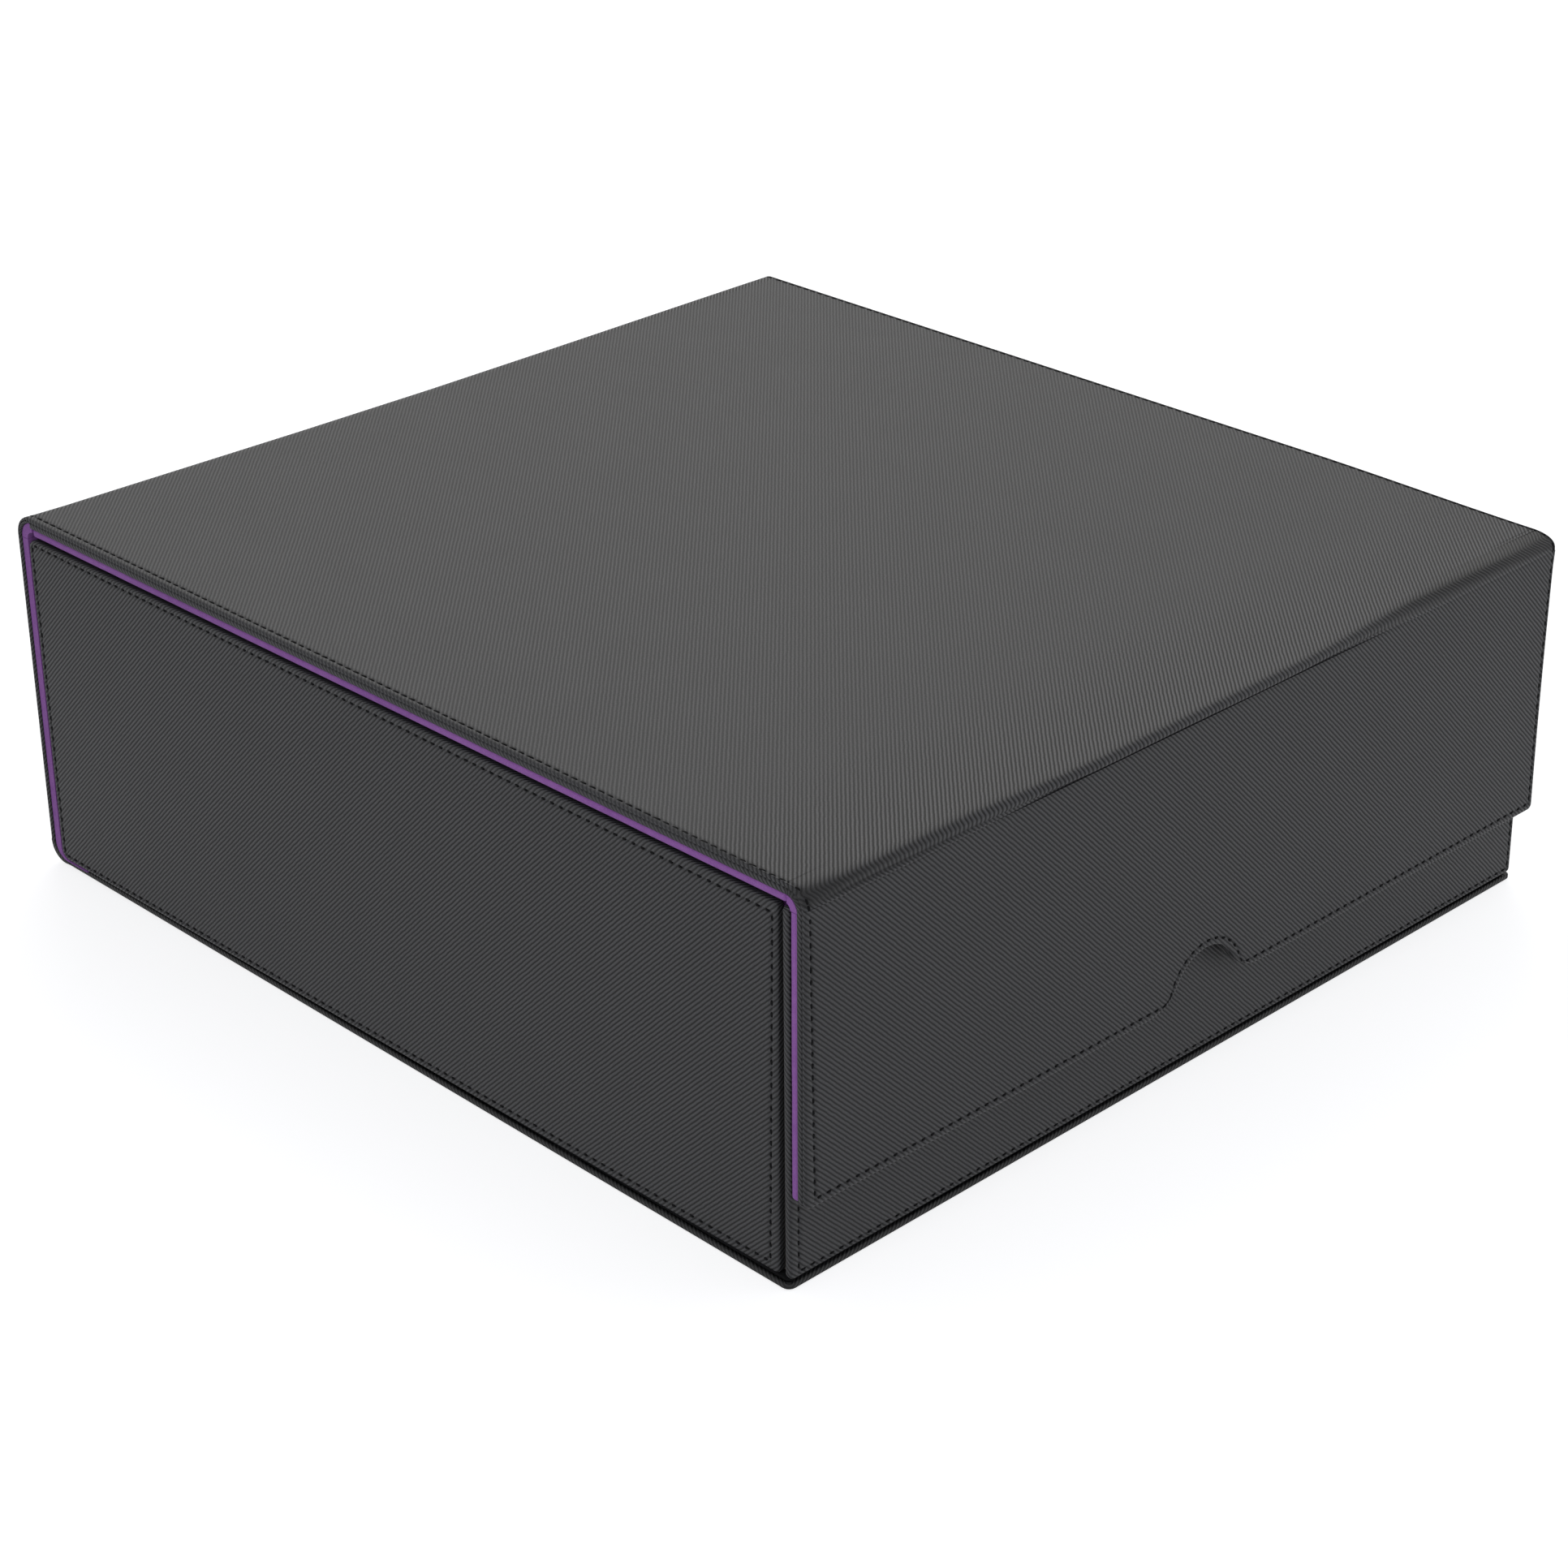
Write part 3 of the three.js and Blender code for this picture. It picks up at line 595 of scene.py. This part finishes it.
# A strip across the whole width: rows across it, stations along it
def strip(name, half, rows, stations, insets, place, laid, material, columns=28):
    loop = [(-1, row) for row in rows] + [(i / columns, None) for i in range(1, columns)]
    loop += [(1, row) for row in rows[::-1]] + [(1 - i / columns, "back") for i in range(1, columns)]
    back = rows[0]
    points, uvs = [], []
    for t in stations:
        left, right = insets(t)
        for side, row in loop:
            if row is None or row == "back":
                base = rows[-1] if row is None else back
                low = -half + base[0] + base[1] * left
                high = half - base[0] - base[1] * right
                x, w = low + (high - low) * side, base[2]
                flat = x
            else:
                inset = left if side < 0 else right
                x = side * (half - row[0] - row[1] * inset)
                flat = side * (half - row[3] - row[4] * inset)
                w = row[2]
            points.append(place(x, t, w))
            uvs.append(laid(x, flat, t))
    size = len(loop)
    faces = [tuple(range(size)), tuple(range(len(points) - size, len(points)))]
    for s in range(len(stations) - 1):
        for k in range(size):
            n = (k + 1) % size
            faces.append((s * size + k, s * size + n, (s + 1) * size + n, (s + 1) * size + k))
    return new_piece(name, points, faces, material, uvs)


# Outline of a panel, anticlockwise: corners as (u, v, inward u, inward v, radius, stitch inset u, stitch inset v)
def corner_points(corner, a, b, steps=5):
    u, v, inward_u, inward_v, radius, stitch_u, stitch_v = corner
    du, dv = a + b * stitch_u, a + b * stitch_v
    r = max(radius - (du + dv) / 2, 0.03)
    cu, cv = u + inward_u * (du + r), v + inward_v * (dv + r)
    start = {(1, 1): 180, (-1, 1): 270, (-1, -1): 0, (1, -1): 90}[(inward_u, inward_v)]
    return arc(cu, cv, r, start, start + 90, steps)


def joined(groups, gap):
    """Point groups joined by straight runs, with as many points in a run at every inset."""
    points = []
    for group, following, count in zip(groups, groups[1:] + groups[:1], gap):
        points += group
        a, b = np.array(group[-1]), np.array(following[0])
        points += [tuple(a + (b - a) * k / count) for k in range(1, count)]
    return np.array(points)


def rectangle_ring(corners):
    return lambda a, b=0.0: joined([corner_points(c, a, b) for c in corners], (24, 12, 24, 12))


def notch_points(a, b):
    """Thumb notch, left to right: a round bay between two fillets, which turn tighter along the stitches."""
    inset = a + b * NOTCH_STITCH
    fillet = NOTCH_FILLET - a - b * (NOTCH_FILLET - NOTCH_TURN)
    radius = NOTCH_RADIUS + inset
    centre = FLAP_LOW[2] + NOTCH_DEPTH - NOTCH_RADIUS
    foot = FLAP_LOW[2] + inset + fillet
    reach = math.sqrt((radius + fillet) ** 2 - (foot - centre) ** 2)
    tilt = math.degrees(math.atan2(foot - centre, reach))
    return (arc(-reach, foot, fillet, -90, -tilt, 12) + arc(0, centre, radius, 180 - tilt, tilt, 24)[1:-1]
            + arc(reach, foot, fillet, 180 + tilt, 270, 12))


def flap_ring(corners):
    def ring(a, b=0.0):
        foot_left, foot_right, top_right, top_left = (corner_points(c, a, b) for c in corners)
        bay = notch_points(a, b)
        return joined([foot_left, bay, foot_right, top_right, top_left], (20, 20, 16, 24, 16))
    return ring


# A panel built from rings, drawn in row by row, with its face and back closed and cut where it has to bend
def panel(name, ring, rows, place, laid, material, cuts_u=(), cuts_v=(), level=None):
    work = bmesh.new()
    uv = work.loops.layers.uv.new("UVMap")
    rings, flats = [], []
    for a, b, w, sa, sb in rows:
        line, flat = ring(a, b), ring(sa, sb)
        rings.append([work.verts.new((u, v, w if level is None else level(u, v, w))) for u, v in line])
        flats.append(flat)

    def face(corners):
        made = work.faces.new([rings[i][k] for i, k in corners])
        for loop, (i, k) in zip(made.loops, corners):
            loop[uv].uv = tuple(np.array(laid(*flats[i][k])) * MM)
        return made

    count = len(rings[0])
    for i in range(len(rings) - 1):
        for k in range(count):
            n = (k + 1) % count
            face([(i, k), (i, n), (i + 1, n), (i + 1, k)])
    caps = [face([(0, k) for k in range(count)]), face([(len(rings) - 1, k) for k in range(count)])]
    bmesh.ops.triangulate(work, faces=caps)
    for axis, places in ((0, cuts_u), (1, cuts_v)):
        for at in places:
            cut(work, axis, at)
    for vertex in work.verts:
        vertex.co = Vector(place(*vertex.co) * MM)
    return add_piece(name, mesh_of(work, name), material)


# Stitches: one mesh a seam, each stitch a plump dash that lies in the furrow
def resample(path, pitch):
    path = np.array(path, float)
    lengths = np.linalg.norm(np.diff(path, axis=0), axis=1)
    path, lengths = np.vstack([path[:1], path[1:][lengths > 1e-6]]), lengths[lengths > 1e-6]
    along = np.concatenate([[0], np.cumsum(lengths)])
    count = max(1, round(along[-1] / pitch))
    spots = []
    for at in (np.arange(count) + 0.5) * along[-1] / count:
        i = min(int(np.searchsorted(along, at, side="right")) - 1, len(lengths) - 1)
        step = (path[i + 1] - path[i]) / lengths[i]
        spots.append((path[i] + step * (at - along[i]), step))
    return spots


def stitches(name, paths, place, length=STITCH_LENGTH, width=STITCH_WIDTH):
    rings, around = STITCH_MESH
    points, faces = [], []
    rng = np.random.default_rng(sum(ord(c) for c in name))
    for path in paths:
        for spot, step in resample(path, STITCH_PITCH):
            here = place(*spot, STITCH_LEVEL)
            ahead = place(*(spot + step * 0.5), STITCH_LEVEL) - here
            up = place(*spot, STITCH_LEVEL + 0.5) - here
            ahead, up = ahead / np.linalg.norm(ahead), up / np.linalg.norm(up)
            side = np.cross(up, ahead)
            ahead = ahead + side * (0.10 + rng.normal(0, 0.05))
            long_half = length / 2 * (1 + rng.normal(0, 0.06))
            first = len(points)
            for r in range(rings):
                share = -0.97 + 1.94 * r / (rings - 1)
                full = max(1 - abs(share) ** 3.0, 0.08) ** 0.5
                for k in range(around):
                    angle = 2 * math.pi * k / around
                    rise = math.sin(angle) * STITCH_PROUD * full + STITCH_PROUD * 0.5 * (full - 1)
                    across = side * width / 2 * full * math.cos(angle)
                    points.append(here + ahead * share * long_half + across + up * rise)
            for r in range(rings - 1):
                for k in range(around):
                    a, b = first + r * around + k, first + r * around + (k + 1) % around
                    faces.append((a, b, b + around, a + around))
            faces.append(tuple(first + k for k in range(around - 1, -1, -1)))
            faces.append(tuple(first + (rings - 1) * around + k for k in range(around)))
    return new_piece(name, points, faces, THREAD_SKIN, sharp=180)


def laid_skin(name, shade_tone=1.0, painted_sheen_from=None, with_painted_shade=False):
    """Skin of a piece whose UV map holds its place, laid flat, in metres."""
    tree = Tree(name)
    place = tree.place("UV")
    p = tree.split(place)
    painted_sheen = tree.scale_map(p[1], painted_sheen_from, painted_sheen_from - SHEEN_FLATTEN_OVER, 0.0, SHEEN_FLATTEN) if painted_sheen_from else None
    return skin_from_phase(tree, place, tree.mul(tree.add(p[0], p[1]), ALONG_RIBS), shade_tone, painted_sheen, with_painted_shade)


SKIN = laid_skin("ribbed_skin")
# Lid skin, with painted sheen that flattens its ribs' colour contrast away from the front fold
LID_SKIN = laid_skin("ribbed_skin_painted_sheen", painted_sheen_from=-BOXES["top_skin"][0][1])
# Front fold's skin, with painted shade on its face
SHADED_FOLD_SKIN = laid_skin("ribbed_skin_painted_shade_fold", with_painted_shade=True)
# Base and its fold: the skin's colours darkened as painted shade
BASE_SHADED_SKIN = laid_skin("ribbed_skin_painted_shade_base", 0.27)
DIVIDER_SKIN = divider_skin()
FELT = felt()
BOARD, THREAD_SKIN, PAPER, STEEL = board(), thread(), dark_paper(), plated()


def paint(thing, material):
    thing.data.materials.clear()
    thing.data.materials.append(material)


for name, node in nodes.items():
    if name.startswith("divider"):
        paint(node, DIVIDER_SKIN)
    elif "magnet" in name or "keeper" in name:
        paint(node, STEEL)
    elif name == "base_sheet":
        paint(node, PAPER)
    elif "board" in name or "stiffener" in name:
        paint(node, BOARD)


# Cover: top panel, front fold, rear fold and back, each a strip over the whole width
SEAMED = edge_rows(COVER_THICK, seam=SEAM)
THIN_EDGE = edge_rows(BACK_THICK, foot=0.6)
FRONT_EDGE = BOXES["top_skin"][0][1]


def stitch_insets(table):
    """Inset of the stitch line from the left and right edge, at a place along a panel."""
    places, left, right = zip(*table)
    return lambda at: (float(np.interp(at, places, left)), float(np.interp(at, places, right)))


TOP_STITCH = stitch_insets(((-150, 0.8, 1.1), (-110, 1.1, 1.2), (0, 1.75, 1.3), (150, 2.2, 1.4)))
FOLD_STITCH = stitch_insets(((0, 0.8, 1.1), (1, 1.5, 1.3)))
BACK_STITCH = stitch_insets(((5, 2.0, 2.0), (105, 2.2, 1.6)))
stations = [FRONT_EDGE + (140 - FRONT_EDGE) * i / 36 for i in range(37)]
stations += [140 + (LID_REAR - 140) * i / 8 for i in range(1, 9)]
top = strip("top_panel_skin", WIDE, SEAMED, stations, TOP_STITCH, lid_place,
            lambda x, flat, u: (flat, -u), LID_SKIN)
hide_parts("top_skin")
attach(top, "lid")

fold_ribs = {}


def fold_laid(x, flat, t):
    x = round(x)
    if x not in fold_ribs:
        steps = np.linspace(0, 1, 37)
        line = np.array([fold_outer(x, step)[0] for step in steps])
        lengths = np.linalg.norm(np.diff(line, axis=0), axis=1)
        shares = (np.cumsum(lengths) - lengths / 2) / lengths.sum()
        over_face = -1 + 0.75 * (1 - ease(abs(x - ROLL_MIDDLE), *RIB_TURN_ACROSS))
        start, full, leave, end = RIB_TURN
        slopes = [1 + (over_face - 1) * ease(s, start, full) - (1 + over_face) * ease(s, leave, end) for s in shares]
        fold_ribs[x] = (steps, np.concatenate(((0,), np.cumsum(slopes * lengths))))
    return flat, -FRONT_EDGE + float(np.interp(t, *fold_ribs[x]))


front = strip("front_fold_skin", WIDE, SEAMED, [i / 24 for i in range(25)], FOLD_STITCH, fold_place,
              fold_laid, SHADED_FOLD_SKIN)
# Painted shade on the front fold's face: full away from the roll's middle and between two heights
painted_shades = front.data.attributes.new("painted_shade", "FLOAT", "POINT")
for vertex, painted_shade in zip(front.data.vertices, painted_shades.data):
    x, y, z = np.array(vertex.co) / MM
    low, high = ROLL_SHADE_HEIGHTS
    painted_shade.value = (ease(abs(x - ROLL_MIDDLE), *ROLL_SHADE_ACROSS) * ease(high - z, 0, ROLL_SHADE_SOFT)
                    * ease(z - low, 0, ROLL_SHADE_SOFT))
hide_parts("front_fold")
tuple(FRONT_BEND[0])
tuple(FRONT_BEND[1])
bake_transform(front)


def rear_insets(t):
    """Inset of the rear fold's stitch line from its left and right edge."""
    return 2.2 - 0.1 * t, 1.4 + 0.1 * t


rear = strip("rear_fold_skin", WIDE, SEAMED, [i / 20 for i in range(21)], rear_insets, rear_place,
             lambda x, flat, t: (flat, -LID_REAR - (rear_end(x) - LID_REAR) * t), SKIN)
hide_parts("rear_fold")
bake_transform(rear)

back = strip("back_panel_skin", WIDE, THIN_EDGE, [BACK_LOW + (REAR_TOP - BACK_LOW) * i / 6 for i in range(7)],
             BACK_STITCH, back_place, lambda x, flat, z: (flat, z), SKIN)
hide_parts("back_skin")
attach(back, "tray")

# Base, whose skin goes round its edge on to the upper side
BASE_CORNERS = (
    (BASE_LOW[0], BASE_LOW[1], 1, 1, 2.2, 2.0, 2.0), (BASE_HIGH[0], BASE_LOW[1], -1, 1, 1.6, 2.0, 2.0),
    (BASE_HIGH[0], BASE_HIGH[1], -1, -1, 0.2, 2.0, 2.0), (BASE_LOW[0], BASE_HIGH[1], 1, -1, 0.2, 2.0, 2.0))
BASE_ROWS = edge_rows(BACK_THICK, rim=0.4, foot=0.5)
base = panel("base_panel_skin", rectangle_ring(BASE_CORNERS), BASE_ROWS, base_place, lambda x, y: (x, y),
             BASE_SHADED_SKIN, cuts_u=range(-120, 121, 40), cuts_v=range(-120, 121, 40))
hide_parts("base_skin")
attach(base, "tray")
base_fold = strip("base_fold_skin", WIDE, BASE_ROWS, [BASE_RUN * i / 18 for i in range(19)], lambda s: (2.0, 2.0),
                  base_fold_place, lambda x, flat, s: (flat, -s), BASE_SHADED_SKIN)
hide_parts("base_fold")
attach(base_fold, "tray")

# Flap, with its thumb notch
FLAP_CORNERS = (
    (-WIDE, FLAP_LOW[2], 1, 1, 1.8, 3.1, 2.2), (WIDE, FLAP_LOW[2], -1, 1, 1.8, 1.8, 2.2),
    (WIDE, FLAP_HIGH[2], -1, -1, 0.4, 1.3, 1.2), (-WIDE, FLAP_HIGH[2], 1, -1, 0.4, 1.6, 1.2))
FLAP_RIBS = fold_laid(-WIDE, 0, 1.0)[1] - FOLD_LINES[0][-1][1]


def below_fold(u, v, w):
    """No furrow along the flap's top edge, which the fold hides."""
    return w if w < FURROW_DEEPEST else w * ease(FLAP_HIGH[2] - v, *FURROW_FROM)


flap = panel("flap_panel_skin", flap_ring(FLAP_CORNERS), SEAMED, flap_place,
             lambda x, z: (x, z + FLAP_RIBS), SKIN, cuts_u=range(-132, 133, 12),
             cuts_v=range(32, 104, 6), level=below_fold)
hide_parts("flap_skin")
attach(flap, "flap")

# Walls of the tray
SIDE_ROWS = edge_rows(SIDE_THICK)
SIDE_CORNERS = (
    (LEFT_LOW[1], LEFT_LOW[2], 1, 1, 1.4, 3.0, 2.35), (LEFT_HIGH[1], LEFT_LOW[2], -1, 1, 3.0, 1.75, 1.45),
    (LEFT_HIGH[1], LEFT_HIGH[2], -1, -1, 3.0, 1.75, 1.5), (LEFT_LOW[1], LEFT_HIGH[2], 1, -1, 1.2, 1.7, 2.9))
FRONT_ROWS = edge_rows(FRONT_THICK)
FRONT_RIGHT = FRONT_HIGH[0] + WALL_MORE
FRONT_CORNERS = (
    (FRONT_LOW[0], FRONT_LOW[2], 1, 1, 1.4, 2.8, 1.5), (FRONT_RIGHT, FRONT_LOW[2], -1, 1, 1.4, 1.6, 1.5),
    (FRONT_RIGHT, FRONT_HIGH[2], -1, -1, 1.2, 1.6, 2.9), (FRONT_LOW[0], FRONT_HIGH[2], 1, -1, 1.2, 2.8, 2.9))
for name, rows, corners, place, laid in (
        ("left_wall", SIDE_ROWS, SIDE_CORNERS, left_place, lambda y, z: (y, z)),
        ("right_wall", SIDE_ROWS, SIDE_CORNERS, right_place, lambda y, z: (y, -z)),
        ("front_wall", FRONT_ROWS, FRONT_CORNERS, front_wall_place, lambda x, z: (x, z))):
    wall = panel(f"{name}_panel_skin", rectangle_ring(corners), rows, place, laid, SKIN,
                 cuts_u=(-73, 0, 73))
    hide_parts(f"{name}_skin")
    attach(wall, "tray")


# Boards, magnets and felt linings keep their solids' shapes, and follow the droop and curl of the skins
def lid_shift(x, y, z):
    return np.array((0, 0, -lid_droop(x, y)))


def flap_shift(x, y, z):
    return np.array((0, -flap_curl(x, z), 0))


def fold_felt_shift(x, y, z):
    turned = math.atan2(z - FOLD_MIDDLE[1], -(y - FOLD_MIDDLE[0])) / (math.pi / 2)
    turned = min(max(turned, 0.0), 1.0)
    return np.array((0, FELT_REACH[0] * turned, -lid_droop(x, y) * turned - FELT_REACH[1] * (1 - turned)))


def still(x, y, z):
    return np.zeros(3)


def copy_of(name, title, material, shift, step, nap=0.0):
    """A copy of a node's mesh, cut finely, moved by a function of place and drawn in a little unevenly."""
    work = bmesh.new()
    work.from_mesh(nodes[name].data)
    low, high = BOXES[name]
    for axis in (0, 1, 2):
        count = int((high[axis] - low[axis]) / step[axis])
        for i in range(1, count):
            cut(work, axis, (low[axis] + (high[axis] - low[axis]) * i / count) * MM)
    work.normal_update()
    moves = []
    for vertex in work.verts:
        place = np.array(vertex.co) / MM
        drawn = nap * (0.5 + 0.5 * noise.noise(Vector(place * 0.11)))
        moves.append(place + shift(*place) - np.array(vertex.normal) * drawn)
    for vertex, place in zip(work.verts, moves):
        vertex.co = Vector(place * MM)
    piece = add_piece(title, mesh_of(work, title), material, FELT_SHARP)
    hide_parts(name)
    return piece


def wall_shift(x, y, z):
    return np.array((0, -wall_lean(x, z), 0))


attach(copy_of("front_wall_board", "front_wall_card", BOARD, wall_shift, (73, 50, 50)), "tray")
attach(copy_of("base_board", "base_card", BOARD, base_shift, (40, 40, 50)), "tray")
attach(copy_of("base_sheet", "base_paper", PAPER, base_shift, (40, 40, 50)), "tray")
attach(copy_of("top_board", "top_panel_card", BOARD, lid_shift, (20, 20, 50)), "lid")
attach(copy_of("flap_board", "flap_card", BOARD, flap_shift, (20, 50, 6)), "flap")
for i in range(1, 5):
    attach(copy_of(f"flap_magnet_{i}", f"flap_magnet_disc_{i}", STEEL, flap_shift,
                    (50, 50, 50)), "flap")
    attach(copy_of(f"keeper_disc_{i}", f"keeper_plate_{i}", STEEL, wall_shift,
                    (50, 50, 50)), "tray")
SHIFTS = {"top_lining": (lid_shift, "lid"), "flap_lining": (flap_shift, "flap")}
for name in nodes:
    if "lining" in name and "fold" not in name:
        shift, body = SHIFTS.get(name, (still, "tray"))
        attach(copy_of(name, f"{name}_felt", FELT, shift, FELT_STEP, NAP), body)
piece = copy_of("front_lining_fold", "front_lining_fold_felt", FELT, fold_felt_shift,
                (9, 0.25, 0.25), NAP)
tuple(FRONT_BEND[0])
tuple(FRONT_BEND[1])
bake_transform(piece)
piece = copy_of("rear_lining_fold", "rear_lining_fold_felt", FELT, still, (9, 0.6, 0.6))
LOW, HIGH = BOXES["rear_lining_fold"]
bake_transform(piece)


# Seams
def side_path(side, insets, places):
    return [(side * (WIDE - insets(at)[0 if side < 0 else 1]), at) for at in places]


def inner_corners(corners):
    """Corners of a panel's stitch line."""
    return [(u + iu * su, v + iv * sv) for u, v, iu, iv, radius, su, sv in corners]


def fold_stitch_place(x, s, w):
    return fold_place(x, s / fold_run(x), w)


def rear_stitch_place(x, s, w):
    return rear_place(x, s / REAR_RUN, w)


for side, sign in (("left", -1), ("right", 1)):
    line = side_path(sign, TOP_STITCH, np.linspace(FRONT_EDGE + 0.2, LID_REAR - 0.2, 30))
    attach(stitches(f"top_{side}_stitches", [line], lid_place, length=2.2), "lid")
    inset = FOLD_STITCH(0)[0 if sign < 0 else 1]
    run = fold_run(sign * (WIDE - inset))
    line = [(sign * (WIDE - FOLD_STITCH(s / run)[0 if sign < 0 else 1]), s) for s in np.linspace(0.2, run - 0.1, 12)]
    piece = stitches(f"front_fold_{side}_stitches", [line], fold_stitch_place)
    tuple(FRONT_BEND[0])
    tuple(FRONT_BEND[1])
    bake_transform(piece)
    line = [(sign * (WIDE - REAR_STITCH[0 if sign < 0 else 1]), s) for s in np.linspace(0.3, REAR_RUN - 0.3, 12)]
    piece = stitches(f"rear_fold_{side}_stitches", [line], rear_stitch_place)
    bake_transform(piece)
    line = side_path(sign, BACK_STITCH, (BACK_LOW + 0.5, REAR_TOP - 0.5))
    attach(stitches(f"back_{side}_stitches", [line], back_place), "tray")
    place = left_place if sign < 0 else right_place
    foot_a, foot_b, top_b, top_a = inner_corners(SIDE_CORNERS)
    ring = [foot_a, foot_b, top_b, top_a, foot_a]
    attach(stitches(f"{side}_wall_stitches", list(zip(ring[:-1], ring[1:])), place), "tray")

foot_a, foot_b, top_b, top_a = inner_corners(FLAP_CORNERS)
bay = notch_points(0, 1)
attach(stitches("flap_stitches", [
    [(top_a[0], top_a[1] - 0.2), foot_a],
    [foot_a] + bay + [foot_b],
    [foot_b, (top_b[0], top_b[1] - 0.2)]], flap_place), "flap")
foot_a, foot_b, top_b, top_a = inner_corners(FRONT_CORNERS)
ring = [foot_a, foot_b, top_b, top_a, foot_a]
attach(stitches("front_wall_stitches", list(zip(ring[:-1], ring[1:])), front_wall_place, width=0.6), "tray")

# Camera of the photograph
camera = bpy.data.objects.new("camera", bpy.data.cameras.new("camera"))
bpy.context.scene.collection.objects.link(camera)
bpy.context.scene.camera = camera
camera.data.lens = CAMERA_LENS
camera.data.sensor_width = SENSOR
camera.data.clip_start, camera.data.clip_end = CLIP
a, e = math.radians(CAMERA_AZIMUTH), math.radians(CAMERA_ELEVATION)
back = Vector((math.sin(a) * math.cos(e), -math.cos(a) * math.cos(e), math.sin(e)))
turn = (-back).to_track_quat("-Z", "Y").to_matrix() @ Matrix.Rotation(math.radians(CAMERA_ROLL), 3, "Z")
camera.matrix_world = Matrix.Translation(CAMERA_PLACE) @ turn.to_4x4()


# World: studio light, brighter from behind, and pure white where the camera or a reflection sees past the object
world = bpy.data.worlds.new("studio")
bpy.context.scene.world = world
world.use_nodes = True
tree = world.node_tree
tree.nodes.clear()
towards = tree.nodes.new("ShaderNodeTexCoord")
facing = tree.nodes.new("ShaderNodeVectorMath")
facing.operation = "DOT_PRODUCT"
facing.inputs[1].default_value = Vector(LIGHT_FROM).normalized()
tree.links.new(towards.outputs["Generated"], facing.inputs[0])
level = tree.nodes.new("ShaderNodeMapRange")
for socket, value in zip(list(level.inputs)[1:5], (-1.0, 1.0, LIGHT_LOW, LIGHT_HIGH)):
    socket.default_value = value
tree.links.new(facing.outputs["Value"], level.inputs[0])
light = tree.nodes.new("ShaderNodeBackground")
light.inputs["Color"].default_value = (*COOL, 1.0)
tree.links.new(level.outputs[0], light.inputs["Strength"])
seen = tree.nodes.new("ShaderNodeBackground")
seen.inputs["Color"].default_value = (1.0, 1.0, 1.0, 1.0)
seen.inputs["Strength"].default_value = 1.0


def sees_past(tree):
    """1 for a ray of the camera, a reflection or glass."""
    path = tree.nodes.new("ShaderNodeLightPath")
    value = path.outputs["Is Camera Ray"]
    for name in ("Is Glossy Ray", "Is Transmission Ray"):
        either = tree.nodes.new("ShaderNodeMath")
        either.operation = "MAXIMUM"
        tree.links.new(value, either.inputs[0])
        tree.links.new(path.outputs[name], either.inputs[1])
        value = either.outputs[0]
    return value


mixed = tree.nodes.new("ShaderNodeMixShader")
out = tree.nodes.new("ShaderNodeOutputWorld")
tree.links.new(sees_past(tree), mixed.inputs["Fac"])
tree.links.new(light.outputs[0], mixed.inputs[1])
tree.links.new(seen.outputs[0], mixed.inputs[2])
tree.links.new(mixed.outputs[0], out.inputs[0])


def softbox(name, place, target, size, power, colour):
    lamp = bpy.data.lights.new(name, "AREA")
    lamp.shape = "RECTANGLE"
    lamp.size, lamp.size_y, lamp.energy, lamp.color = size, size, power, colour
    holder = bpy.data.objects.new(name, lamp)
    bpy.context.scene.collection.objects.link(holder)
    holder.location = place
    holder.rotation_euler = (Vector(target) - Vector(place)).to_track_quat("-Z", "Y").to_euler()


for name, lamp in LAMPS.items():
    softbox(name, *lamp)

# Floor: pale, and white to the camera outside the object's soft shadow
floor = bpy.data.materials.new("studio_floor")
floor.use_nodes = True
tree = floor.node_tree
tree.nodes.clear()
diffuse = tree.nodes.new("ShaderNodeBsdfDiffuse")
diffuse.inputs["Color"].default_value = (FLOOR_COLOUR, FLOOR_COLOUR, FLOOR_COLOUR, 1.0)
glow = tree.nodes.new("ShaderNodeEmission")
both = tree.nodes.new("ShaderNodeAddShader")
gain = tree.nodes.new("ShaderNodeMath")
gain.operation = "MULTIPLY"
gain.inputs[1].default_value = FLOOR_GLOW
out = tree.nodes.new("ShaderNodeOutputMaterial")
tree.links.new(sees_past(tree), gain.inputs[0])
tree.links.new(gain.outputs[0], glow.inputs["Strength"])
tree.links.new(diffuse.outputs[0], both.inputs[0])
tree.links.new(glow.outputs[0], both.inputs[1])
tree.links.new(both.outputs[0], out.inputs[0])
mesh = bpy.data.meshes.new("floor")
corners = [(x * FLOOR_HALF, y * FLOOR_HALF, 0) for x, y in ((-1, -1), (1, -1), (1, 1), (-1, 1))]
mesh.from_pydata(corners, [], [(0, 1, 2, 3)])
mesh.materials.append(floor)
ground = bpy.data.objects.new("floor", mesh)
ground.location.z = -FLOOR_DROP
bpy.context.scene.collection.objects.link(ground)

bpy.context.scene.view_settings.view_transform = "Standard"
